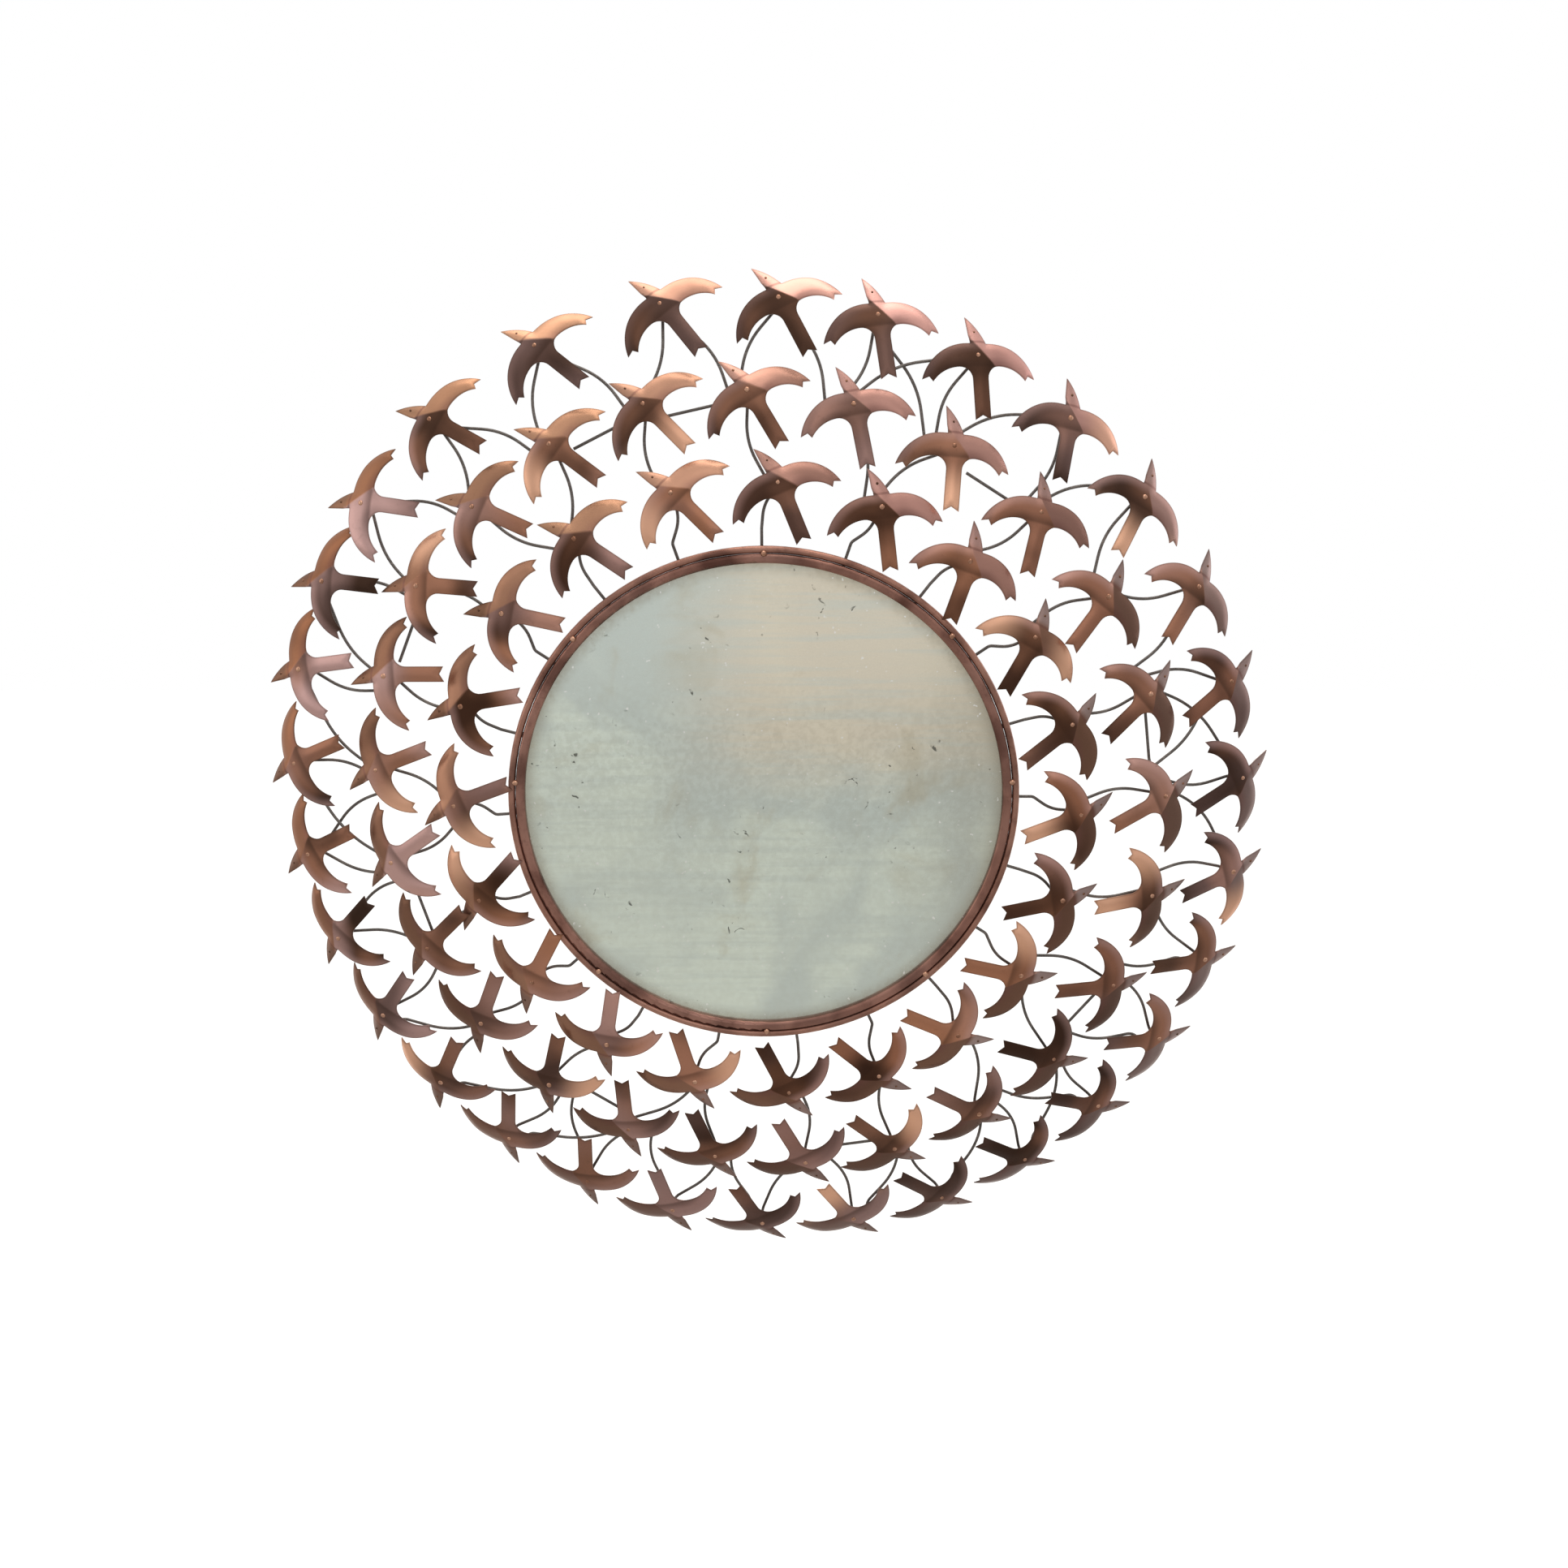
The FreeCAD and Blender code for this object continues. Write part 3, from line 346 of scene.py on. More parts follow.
def birdOutline():
    s = birdSizes
    half, hollow = s["tailWidth"] / 2, s["armpit"]
    rootSide, rootBack = half + hollow, s["chest"] - s["rootWidth"]

    def curve(hubSide, hubBack, radius, hand):
        return lambda angle: Vector((hand * (hubSide + radius * rise(angle)),
                                     hubBack + abs(radius) * wave(angle)))

    def run(make, first, last, length):
        count = max(2, round(length / blankSizes["step"]))
        return [make(first + (last - first) * k / count) for k in range(count)]

    def line(a, b):
        return run(lambda t: a.lerp(b, t), 0, 1, (b - a).length)

    def sweep(make, first, last, radius):
        return run(make, first, last, radius * math.radians(abs(last - first)))

    def side(hand, neck):
        onLead = curve(s["leadSide"], s["chest"] - s["leadRadius"], s["leadRadius"], hand)
        onTrail = curve(rootSide, rootBack - s["trailRadius"], s["trailRadius"], hand)
        onHollow = curve(rootSide, rootBack - hollow, -hollow, hand)
        front, back = onLead(s["leadReach"]), onTrail(s["trailReach"])
        way = (s["leadReach"] + s["trailReach"]) / 2
        cut = (front + back) / 2 - Vector((hand * wave(way), -rise(way))) * s["notch"]
        tip = Vector((hand * half, -s["tailLength"]))
        return (line(neck, onLead(0)) + sweep(onLead, 0, s["leadReach"], s["leadRadius"]) + line(front, cut)
                + line(cut, back) + sweep(onTrail, s["trailReach"], 0, s["trailRadius"])
                + sweep(onHollow, 0, 90, hollow) + line(onHollow(90), tip) + line(tip, fork))

    beak, fork = Vector(s["beak"]), Vector((0, s["tailFork"] - s["tailLength"]))
    neckRight, neckLeft = Vector((s["neckRight"], s["chest"])), Vector((-s["neckLeft"], s["chest"]))
    out = Vector((beak.y - neckRight.y, neckRight.x - beak.x)).normalized() * s["cheek"]
    cheek = run(lambda t: beak.lerp(neckRight, t) + out * 4 * t * (1 - t), 0, 1, (neckRight - beak).length)
    left = side(-1, neckLeft)
    return cheek + side(1, neckRight) + [fork] + left[:0:-1] + line(neckLeft, beak)


def edgeDistance(points, outline):
    # distance from the edge, more than zero inside
    a = np.array([tuple(p) for p in outline])
    b = np.roll(a, -1, 0)
    d = b - a
    p = np.asarray(points, float)[:, None, :]
    t = np.clip(((p - a) * d).sum(2) / (d * d).sum(1), 0, 1)
    gap = np.linalg.norm(p - (a + t[..., None] * d), axis=2).min(1)
    x, y = p[..., 0], p[..., 1]
    tall = np.where(d[:, 1] == 0, 1e-9, d[:, 1])
    crossed = ((a[:, 1] > y) != (b[:, 1] > y)) & (x < d[:, 0] * (y - a[:, 1]) / tall + a[:, 0])
    return np.where(crossed.sum(1) % 2 == 1, gap, -gap)


def fillPoints(outline):
    # an even grid inside the outline, with close rows along the crease
    b, half = blankSizes, birdSizes["creaseWidth"] / 2
    low = [min(p[k] for p in outline) for k in (0, 1)]
    high = [max(p[k] for p in outline) for k in (0, 1)]
    points, rowHeight = [], b["grid"] * math.sqrt(3) / 2
    for j in range(int((high[1] - low[1]) / rowHeight) + 1):
        for i in range(int((high[0] - low[0]) / b["grid"]) + 1):
            points.append((low[0] + (i + 0.5 * (j % 2)) * b["grid"], low[1] + j * rowHeight))
    points = [p for p in points if abs(byCrease(*p)[1] - half) > half + b["creaseClear"]]
    for row in range(b["creaseRows"]):
        over = birdSizes["creaseWidth"] * row / (b["creaseRows"] - 1)
        for k in range(-b["creaseSteps"], b["creaseSteps"] + 1):
            points.append(fromCrease(k * b["creaseStep"], over))
    return [Vector(p) for p, d in zip(points, edgeDistance(points, outline)) if d > b["edgeClear"]]


def makeBlank():
    s = birdSizes
    outline = birdOutline()[::-1]
    loop = list(range(len(outline)))
    points = [Vector(p) for p in outline] + fillPoints(outline)
    verts, _, faces, _, _, _ = delaunay_2d_cdt(points, [], [loop], 1, 1e-5)
    count = len(verts)
    shell = [(v.x * mm, v.y * mm, level) for level in (0, -s["sheet"] * mm) for v in verts]
    allFaces = [tuple(f) for f in faces] + [tuple(count + i for i in reversed(f)) for f in faces]
    sides = {}
    for f in faces:
        for a, b in zip(f, list(f[1:]) + [f[0]]):
            sides[(a, b)] = True
    for a, b in sides:
        if (b, a) not in sides:
            allFaces.append((b, a, count + a, count + b))
    mesh = bpy.data.meshes.new("birdBlank")
    mesh.from_pydata(shell, [], allFaces)

    def keep(label, share):
        layer = mesh.attributes.new(label, "FLOAT", "POINT")
        layer.data.foreach_set("value", np.concatenate([share, share]).astype(np.float32))

    depth = edgeDistance([tuple(v) for v in verts], outline)
    keep("rim", np.clip(depth / s["domeWidth"], 0, 1))
    hub = s["chest"] - s["leadRadius"]
    reach = [math.hypot(max(abs(v.x) - s["leadSide"], 0), v.y - hub) for v in verts]
    # 1 along the leading edge, 0 along the trailing edge
    share = 1 - np.clip((s["leadRadius"] - np.array(reach)) / s["rootWidth"], 0, 1)
    tail = [v.y < s["chest"] - s["rootWidth"] and abs(v.x) < s["tailWidth"] for v in verts]
    share[tail] = blankSizes["tailLead"]
    keep("lead", share)
    mesh.validate()
    return mesh


def socketOf(tree, label):
    return [i.identifier for i in tree.interface.items_tree if i.item_type == "SOCKET"
            and i.in_out == "INPUT" and i.name == label][0]


def geometryTree(name, inputs):
    passed = [("Geometry", "Geometry")]
    return newTree("Geometry", name, passed + inputs, passed)


def namedValue(tree, name, kind="FLOAT"):
    return put(tree, "GeometryNodeInputNamedAttribute", {"Name": name}, data_type=kind).outputs["Attribute"]


def shaped(tree, kind, **feeds):
    # a geometry node that passes the geometry on
    return put(tree, "GeometryNode" + kind, feeds).outputs[0]


def pointMesh(name, columns):
    # one vertex for each copy, with its place and turn as attributes
    count = len(columns["spot"][1])
    mesh = bpy.data.meshes.new(name)
    mesh.from_pydata([(0, 0, 0)] * count, [], [])
    for label, (kind, rows) in columns.items():
        layer = mesh.attributes.new(label, kind, "POINT")
        flat = np.array([tuple(r) if hasattr(r, "__len__") else (r,) for r in rows], np.float32).ravel()
        layer.data.foreach_set("vector" if kind == "FLOAT_VECTOR" else "value", flat)
    return mesh


def grow(name, mesh, tree, values, angle):
    # runs a tree on a mesh and keeps the result as a plain mesh
    piece = bpy.data.objects.new(name, mesh)
    scene.collection.objects.link(piece)
    modifier = piece.modifiers.new("grow", "NODES")
    modifier.node_group = tree
    for label, value in values.items():
        modifier[socketOf(tree, label)] = value
    graph = bpy.context.evaluated_depsgraph_get()
    grown = piece.evaluated_get(graph)
    made = bpy.data.meshes.new_from_object(grown, preserve_all_data_layers=True, depsgraph=graph)
    piece.modifiers.clear()
    piece.data = made
    made.name = name
    made.polygons.foreach_set("use_smooth", np.ones(len(made.polygons), bool))
    made.set_sharp_from_angle(angle=math.radians(angle))
    return piece


def makeFlockTree():
    s = birdSizes
    lengths = {"Crease ahead": s["creaseAhead"], "Crease width": s["creaseWidth"],
               "Hinge": s["sheet"] + s["creaseRadius"], "Dome": s["dome"], "Hammer": s["hammer"],
               "Tip droop": s["tipDroop"], "Tip from": s["tipFrom"], "Tip reach": s["tipReach"]}
    tree, take, give = geometryTree("flock", [
        ("Blank", "Object"), ("Finish", "Material"), ("Stretch", "Float", birdStretch),
        ("Crease angle", "Float", math.radians(s["creaseAngle"])),
        ("Hammer scale", "Float", s["hammerScale"])] + [(k, "Float", v * mm) for k, v in lengths.items()])

    def keep(geometry, name, value, kind):
        feeds = {"Geometry": geometry, "Name": name, "Value": value}
        return put(tree, "GeometryNodeStoreNamedAttribute", feeds, data_type=kind, domain="POINT").outputs[0]

    blank = put(tree, "GeometryNodeObjectInfo", {"Object": take["Blank"]}).outputs["Geometry"]
    copies = shaped(tree, "InstanceOnPoints", Points=take["Geometry"], Instance=blank)
    birds = shaped(tree, "RealizeInstances", Geometry=copies)
    birds = keep(birds, "flatSpot", tree.nodes.new("GeometryNodeInputPosition").outputs[0], "FLOAT_VECTOR")
    flat = namedValue(tree, "flatSpot", "FLOAT_VECTOR")
    x, y, z = split(tree, flat)
    # pillow each wing a little and hammer it, a different way for each bird
    edge = calc(tree, "POWER", minus(tree, 1.0, namedValue(tree, "rim")), 2.0)
    seed = namedValue(tree, "seed")
    shift = joined(tree, seed, times(tree, seed, s["hammerShift"]), 0.0)
    moved = vec(tree, "ADD", vec(tree, "MULTIPLY", flat, (1.0, 1.0, 0.0)), shift)
    dents = noise(tree, moved, take["Hammer scale"], *s["hammerNoise"])
    lift = times(tree, minus(tree, dents, s["hammerLevel"]), take["Hammer"])
    level = minus(tree, plus(tree, z, lift), times(tree, edge, take["Dome"]))
    tip = minus(tree, calc(tree, "ABSOLUTE", x), take["Tip from"])
    tip = calc(tree, "DIVIDE", tip, take["Tip reach"], clamp=True)
    level = minus(tree, level, times(tree, calc(tree, "POWER", tip, 2.0), take["Tip droop"]))
    # bend head and one wing back about the crease
    sine, cosine = (calc(tree, f, take["Crease angle"]) for f in ("SINE", "COSINE"))
    ahead = minus(tree, y, take["Crease ahead"])
    over = pairSum(tree, x, sine, ahead, cosine)
    along = minus(tree, times(tree, x, cosine), times(tree, ahead, sine))
    share = calc(tree, "DIVIDE", over, take["Crease width"], clamp=True)
    angle = times(tree, share, namedValue(tree, "fold"))
    extra = calc(tree, "MAXIMUM", minus(tree, over, take["Crease width"]), 0.0)
    extra = times(tree, extra, take["Stretch"])
    swing, drop = calc(tree, "SINE", angle), calc(tree, "COSINE", angle)
    arm = plus(tree, take["Hinge"], level)
    bentOver = plus(tree, calc(tree, "MINIMUM", over, 0.0), pairSum(tree, arm, swing, extra, drop))
    bentLevel = minus(tree, minus(tree, times(tree, arm, drop), take["Hinge"]), times(tree, extra, swing))
    bentX = pairSum(tree, along, cosine, bentOver, sine)
    bentY = minus(tree, take["Crease ahead"], times(tree, along, sine))
    bentY = plus(tree, bentY, times(tree, bentOver, cosine))
    birds = keep(birds, "bend", share, "FLOAT")
    # stand each bird in its place
    turn, spot = namedValue(tree, "turn", "QUATERNION"), namedValue(tree, "spot", "FLOAT_VECTOR")
    bent = joined(tree, bentX, bentY, bentLevel)
    turned = put(tree, "FunctionNodeRotateVector", {"Vector": bent, "Rotation": turn}).outputs[0]
    placed = vec(tree, "ADD", turned, spot)
    birds = shaped(tree, "SetPosition", Geometry=birds, Position=placed)
    birds = shaped(tree, "SetMaterial", Geometry=birds, Material=take["Finish"])
    tree.links.new(birds, give["Geometry"])
    return tree


# copper of the birds: flat parts dark; bent-back wing and head get painted light, bright toward the top of
# the flock and cooler on the right, with painted shade and glints

birdFinish = {
    "inner": {"oxide": rgb(68, 42, 28), "copper": rgb(178, 123, 94), "blush": rgb(208, 164, 154),
              "bentPaintedWarm": rgb(172, 126, 101), "bentPaintedCool": rgb(116, 84, 68),
              "dark": 0.45, "polishAndPaintedTopLight": 0.75, "shade": 0.2, "lowShade": 0.0},
    "middle": {"oxide": rgb(64, 41, 29), "copper": rgb(172, 121, 96), "blush": rgb(204, 164, 156),
               "bentPaintedWarm": rgb(138, 98, 76), "bentPaintedCool": rgb(114, 87, 75),
               "dark": 0.46, "polishAndPaintedTopLight": 0.6, "shade": 0.35, "lowShade": 0.25},
    "outer": {"oxide": rgb(58, 38, 27), "copper": rgb(166, 116, 92), "blush": rgb(200, 162, 156),
              "bentPaintedWarm": rgb(152, 102, 73), "bentPaintedCool": rgb(138, 117, 112),
              "dark": 0.47, "polishAndPaintedTopLight": 1.0, "shade": 0.75, "lowShade": 0.35}}
# shared bird colours: the bright ones are a painted highlight, the head ones painted light by side, the mauve
# one painted shade, the peach one a painted glint, the lilac one a painted reflection
birdWearAndPaintedLight = {"metallic": 0.85, "scale": 11.0, "relief": (0.0006, 0.3),
              "brightWarm": rgb(208, 158, 124), "brightCool": rgb(208, 157, 146), "turn": (0.05, 0.4),
              "headWarm": rgb(126, 90, 70), "headCool": rgb(164, 142, 137), "paintedShadeTone": rgb(112, 74, 68),
              "paintedLilacSheen": rgb(150, 128, 134), "lilacMore": 0.3, "lilacShare": 0.55, "peach": rgb(236, 182, 150),
              "top": (0.74, 1.0), "low": (0.05, 0.4), "dull": 0.5, "bendDark": 0.1, "blush": 0.85,
              "blushFall": 0.7, "blushAndEdgeSheen": (0.5, 1.0, 0.0, 0.42), "trailing": (0.0, 0.5, 0.55, 0.0),
              "singed": (0.0, 0.2, 0.4, 0.0), "paintedGlint": (0.425, 0.445, 0.0, 0.85)}
# ranges over the blank, in metres
birdAreas = {"wing": (0.006, 0.044), "tail": (-0.012, -0.05), "tip": (0.036, 0.058, 0.0, 0.1),
             "neck": (0.010, 0.017), "neckPlace": 0.0112, "neckLine": (0.0004, 0.0018, 0.5, 0.0),
             "neckWidth": (0.007, 0.010, 1.0, 0.0)}
# each number picks another chance from a bird's seed; a part has one for its heat and one for a painted glint
birdLuck = {"body": 5.7, "bodySway": 0.6, "sway": 0.42, "paintedLilacSheen": 11.9, "blush": 13.3,
            "left": (3.1, 17.3), "right": (7.7, 23.7), "tail": (9.3, 19.1)}


def makeBirdCopper(name, finish):
    w, area, luck = birdWearAndPaintedLight, birdAreas, birdLuck
    material, tree, shader = newMaterial(name + "BirdCopper", {"Metallic": w["metallic"]})
    marks = ("seed", "bend", "rim", "lead", "shine", "cool")
    seed, bend, rim, lead, shine, cool = (readAttribute(tree, mark) for mark in marks)
    flat = readAttribute(tree, "flatSpot", "Vector")
    sideways, beakward = split(tree, flat)[:2]
    offMiddle = calc(tree, "ABSOLUTE", sideways)
    parts = {"left": spread(tree, times(tree, sideways, -1.0), *area["wing"]),
             "right": spread(tree, sideways, *area["wing"]), "tail": spread(tree, beakward, *area["tail"])}

    def chance(factor):
        # a number from -0.5 to 0.5, another for each bird
        return minus(tree, calc(tree, "FRACT", times(tree, seed, factor)), 0.5)

    # every wing and tail took the heat in its own way, and tips stay darker
    sway = times(tree, chance(luck["body"]), luck["bodySway"])
    for part, share in parts.items():
        sway = calc(tree, "MULTIPLY_ADD", share, chance(luck[part][0]), sway)
    dark = calc(tree, "MULTIPLY_ADD", sway, -luck["sway"], finish["dark"])
    dark = plus(tree, dark, spread(tree, offMiddle, *area["tip"]))
    # bent parts and heads get painted light: warmer on the left, cooler on the right, and a painted highlight
    # toward the top of the flock
    head = blendColor(tree, cool, w["headWarm"], w["headCool"])
    wearAndPaintedLight = blendColor(tree, cool, finish["bentPaintedWarm"], finish["bentPaintedCool"])
    wearAndPaintedLight = blendColor(tree, spread(tree, beakward, *area["neck"]), wearAndPaintedLight, head)
    top = spread(tree, shine, *w["top"])
    bright = blendColor(tree, spread(tree, cool, *w["turn"]), w["brightWarm"], w["brightCool"])
    wearAndPaintedLight = blendColor(tree, times(tree, top, finish["polishAndPaintedTopLight"]), wearAndPaintedLight, bright)
    dull = blendColor(tree, w["dull"], wearAndPaintedLight, finish["oxide"])
    # the blush tint, also laid on leading edges as a painted highlight
    blushAndEdgeSheen = blendColor(tree, bend, finish["blush"], wearAndPaintedLight)
    blush = plus(tree, chance(luck["blush"]), w["blush"])
    tone = useGroup(tree, heatedCopper, {
        "Position": flat, "Seed": seed, "Scale": w["scale"],
        "Oxide": blendColor(tree, bend, finish["oxide"], dull),
        "Copper": blendColor(tree, bend, finish["copper"], wearAndPaintedLight), "Blush": blushAndEdgeSheen,
        "Dark share": minus(tree, dark, times(tree, bend, w["bendDark"])),
        "Blush share": calc(tree, "MULTIPLY_ADD", cool, -w["blushFall"], blush)})
    # painted reflection: a lilac sheen toward the right of the flock, where the blush also fades
    paintedLilacSheen = calc(tree, "MULTIPLY", cool, plus(tree, chance(luck["paintedLilacSheen"]), w["lilacMore"]), clamp=True)
    color = blendColor(tree, times(tree, paintedLilacSheen, w["lilacShare"]), tone["Color"], w["paintedLilacSheen"], "MULTIPLY")
    # painted shade for trailing edges and the neck line
    paintedShadeTone = blendColor(tree, bend, finish["oxide"], w["paintedShadeTone"])
    neck = calc(tree, "ABSOLUTE", minus(tree, beakward, area["neckPlace"]))
    neck = times(tree, spread(tree, neck, *area["neckLine"]), spread(tree, offMiddle, *area["neckWidth"]))
    # painted shade: flat parts darker at the top of the flock, and the lowest birds darker all over
    shade = times(tree, times(tree, top, finish["shade"]), minus(tree, 1.0, bend))
    low = spread(tree, shine, *w["low"], finish["lowShade"], 0.0)
    # painted glint on one wing or tail here and there
    glint = 0.0
    for part, share in parts.items():
        paintedGlint = spread(tree, chance(luck[part][1]), *w["paintedGlint"])
        glint = calc(tree, "MAXIMUM", glint, times(tree, paintedGlint, share))
    color = layered(
        tree, color, (spread(tree, lead, *w["blushAndEdgeSheen"]), blushAndEdgeSheen),  # painted highlight along leading edges
        (spread(tree, lead, *w["trailing"]), paintedShadeTone), (neck, paintedShadeTone),  # painted shade on trailing edges and a painted shadow line across the neck
        (shade, finish["oxide"]), (low, finish["oxide"]),  # painted shade on flat parts at the top and on all of the lowest birds
        (glint, w["peach"]),  # painted glint, here and there on one wing or tail
        (spread(tree, rim, *w["singed"]), finish["oxide"]))  # cut edges
    paint(tree, shader, color, tone["Rough"], tone["Height"], w["relief"])
    return material


blankMesh = makeBlank()
blank = bpy.data.objects.new("birdBlank", blankMesh)
scene.collection.objects.link(blank)
print("bird blank:", len(blankMesh.polygons), "faces")

flockTree = makeFlockTree()
for rowName, poses in flocks.items():
    inputs = {"Blank": blank, "Finish": makeBirdCopper(rowName, birdFinish[rowName])}
    for group in range(flockSizes["groups"]):
        mine = [p for k, p in enumerate(poses) if k * flockSizes["groups"] // len(poses) == group]
        mesh = pointMesh("birdPoints", {
            "spot": ("FLOAT_VECTOR", [p["spot"] * mm for p in mine]),
            "turn": ("QUATERNION", [p["turn"].to_quaternion() for p in mine]),
            **{label: ("FLOAT", [p[label] for p in mine]) for label in ("fold", "seed", "shine", "cool")}})
        piece = grow("%sBirds%d" % (rowName, group + 1), mesh, flockTree, inputs, birdSizes["sharp"])
        node = "%s_birds_%d" % (rowName, group + 1)
        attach(piece, "mirror")
        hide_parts(node)
        own = np.array([tuple(c) for c in piece.bound_box])
        gap = np.abs(np.array([own.min(0), own.max(0)]) - np.array([tuple(c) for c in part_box(node)])).max()
        print(piece.name, len(piece.data.polygons), "faces, off the solid's box by %.1f mm" % (gap / mm))
bpy.data.objects.remove(blank)


# eyes on the heads and solder dots on the bodies

studShape = {"sink": 0.55, "foot": 0.25, "rings": 3, "sides": 9, "sharp": 50, "sizes": (0.85, 0.3)}
studSizes = {"birdEyes": {"place": (-3.2, 21), "radius": 1.3, "height": 0.9, **studShape},
             "bodyDots": {"place": (-1.5, -1.5), "radius": 2.5, "height": 1.2, **studShape}}
solderFinish = {"metallic": 0.9, "scale": 300.0, "blend": (0.35, 0.65), "rough": (0.0, 1.0, 0.3, 0.5),
                "relief": (0.0004, 0.4), "dotDark": rgb(134, 93, 72), "dotLight": rgb(196, 152, 127),
                "eyeDark": rgb(84, 58, 44), "eyeLight": rgb(140, 100, 78)}
faceStep = 0.4  # mm, how far off the turn of a bent sheet is measured


def makeSolder(name, dark, light):
    f = solderFinish
    material, tree, shader = newMaterial(name, {"Metallic": f["metallic"]})
    marks = useGroup(tree, fineScratches, {"Position": objectSpot(tree), "Scale": f["scale"]})
    color = blendColor(tree, spread(tree, marks["Cloud"], *f["blend"]), dark, light)
    paint(tree, shader, color, spread(tree, marks["Mask"], *f["rough"]), marks["Cloud"], f["relief"])
    return material


def makeStudTree():
    inputs = [("Stud", "Object"), ("Finish", "Material"), ("Size", "Float", 1.0)]
    tree, take, give = geometryTree("studs", inputs)
    spot, turn = namedValue(tree, "spot", "FLOAT_VECTOR"), namedValue(tree, "turn", "QUATERNION")
    scale = times(tree, namedValue(tree, "size"), take["Size"])
    stud = put(tree, "GeometryNodeObjectInfo", {"Object": take["Stud"]}).outputs["Geometry"]
    points = shaped(tree, "SetPosition", Geometry=take["Geometry"], Position=spot)
    scales = joined(tree, scale, scale, scale)
    copies = shaped(tree, "InstanceOnPoints", Points=points, Instance=stud, Rotation=turn, Scale=scales)
    solid = shaped(tree, "RealizeInstances", Geometry=copies)
    tree.links.new(shaped(tree, "SetMaterial", Geometry=solid, Material=take["Finish"]), give["Geometry"])
    return tree


def domeMesh(name, shape):
    # a low rounded button that stands along Z, its foot sunk a little below zero
    radius, height, sink = (shape[key] * mm for key in ("radius", "height", "sink"))
    rings, sides = shape["rings"], shape["sides"]
    angles = [math.pi / 2 * r / rings for r in range(1, rings + 1)]
    points, faces = [(0, 0, height)], []
    for wide, level in [(radius * math.sin(a), height * math.cos(a)) for a in angles] + [(radius, -sink)]:
        turns = [2 * math.pi * k / sides for k in range(sides)]
        points += [(wide * math.cos(turn), wide * math.sin(turn), level) for turn in turns]
    for k in range(sides):
        n = (k + 1) % sides
        faces.append((0, 1 + k, 1 + n))
        for r in range(rings):
            a, b = 1 + r * sides, 1 + (r + 1) * sides
            faces.append((a + k, b + k, b + n, a + n))
    faces.append(tuple(1 + rings * sides + k for k in reversed(range(sides))))
    mesh = bpy.data.meshes.new(name)
    mesh.from_pydata(points, [], faces)
    mesh.validate()
    return mesh


def domeDrop(depth):
    # how far the pillowed sheet lies below the flat one, by the distance from its edge
    return birdSizes["dome"] * (1 - min(max(depth / birdSizes["domeWidth"], 0), 1)) ** 2


def birdSpot(pose, x, y, z):
    return pose["turn"] @ foldPoint(x, y, z, pose["fold"]) + pose["spot"]


def birdFace(pose, x, y):
    # turn of the sheet at a point of the blank
    here = birdSpot(pose, x, y, 0)
    right = (birdSpot(pose, x + faceStep, y, 0) - here).normalized()
    up = (birdSpot(pose, x, y + faceStep, 0) - here).normalized()
    out = right.cross(up).normalized()
    return Matrix((right, out.cross(right), out)).transposed()


def setStuds(label, shape, spots, turns, seeds, finish):
    # one button at each spot, its size a little different by the seed
    stud = bpy.data.objects.new(label + "Shape", domeMesh(label + "Shape", shape))
    scene.collection.objects.link(stud)
    least, more = shape["sizes"]
    mesh = pointMesh(label + "Points", {
        "spot": ("FLOAT_VECTOR", spots), "turn": ("QUATERNION", turns),
        "size": ("FLOAT", [least + more * (seed % 1.0) for seed in seeds])})
    piece = grow(label, mesh, studTree, {"Stud": stud, "Finish": finish}, shape["sharp"])
    bpy.data.objects.remove(stud)
    print(label, len(spots), "in all,", len(piece.data.polygons), "faces")
    return piece


studTree = makeStudTree()
solder = makeSolder("solderDots", solderFinish["dotDark"], solderFinish["dotLight"])
eyeCopper = makeSolder("eyeCopper", solderFinish["eyeDark"], solderFinish["eyeLight"])
for label, finish in (("birdEyes", eyeCopper), ("bodyDots", solder)):
    shape = studSizes[label]
    place = shape["place"]
    foot = -shape["foot"] - domeDrop(edgeDistance([place], birdOutline())[0])
    spots = [birdSpot(p, *place, foot) * mm for p in allPoses]
    turns = [birdFace(p, *place).to_quaternion() for p in allPoses]
    piece = setStuds(label, shape, spots, turns, [p["seed"] for p in allPoses], finish)
    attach(piece, "mirror")


# finishes of the solid nodes

def dress(material, *nodes):
    for node in nodes:
        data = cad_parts[node].data
        data.materials.clear()
        data.materials.append(material)


glassFinish = {
    "center": (0, -0.078, -0.15), "pale": rgb(238, 248, 234), "paintedWarmReflection": rgb(243, 229, 204),
    "cool": rgb(216, 226, 218), "spot": rgb(70, 70, 62), "edge": rgb(168, 160, 140),
    "stain": rgb(196, 182, 148), "dust": rgb(252, 252, 248),
    "metallic": 0.75, "coat": 0.6, "coatRough": 0.05, "rough": (0.35, 0.7, 0.1, 0.2), "speckRough": 0.3,
    "relief": (0.002, 0.06), "clouds": (5.0, 3.0, 0.5, 1.2), "clear": (0.42, 0.62),
    "warmth": (3.1, 2.0, 0.5, 0.8), "wander": 0.1, "toRight": (-0.08, 0.06), "toTop": (0.03, 0.12),
    "warmShare": 0.8, "wipeStretch": (0.6, 1.0, 13.0), "wipe": (8.0, 4.0, 0.6),
    "wiped": (0.42, 0.66, 0.0, 0.5), "stains": (11.0, 4.0, 0.6, 0.6), "stained": (0.54, 0.76, 0.0, 0.45),
    "mottle": (190.0, 4.0, 0.65), "mottled": (0.35, 0.66, 0.1, 0.0), "rightEdge": (0.12, 0.24, 0.0, 0.35),
    "rim": (0.226, 0.246, 0.0, 0.7), "rimWander": 0.016, "specks": (95.0, 3.0, 0.55, 1.0),
    "black": (0.655, 0.72), "patches": (13.0, 2.0, 0.5), "patchy": (0.5, 0.6), "blackShare": 0.85,
    "dots": (230.0, 1.0, 0.5), "dusty": (0.74, 0.79, 0.0, 0.8)}


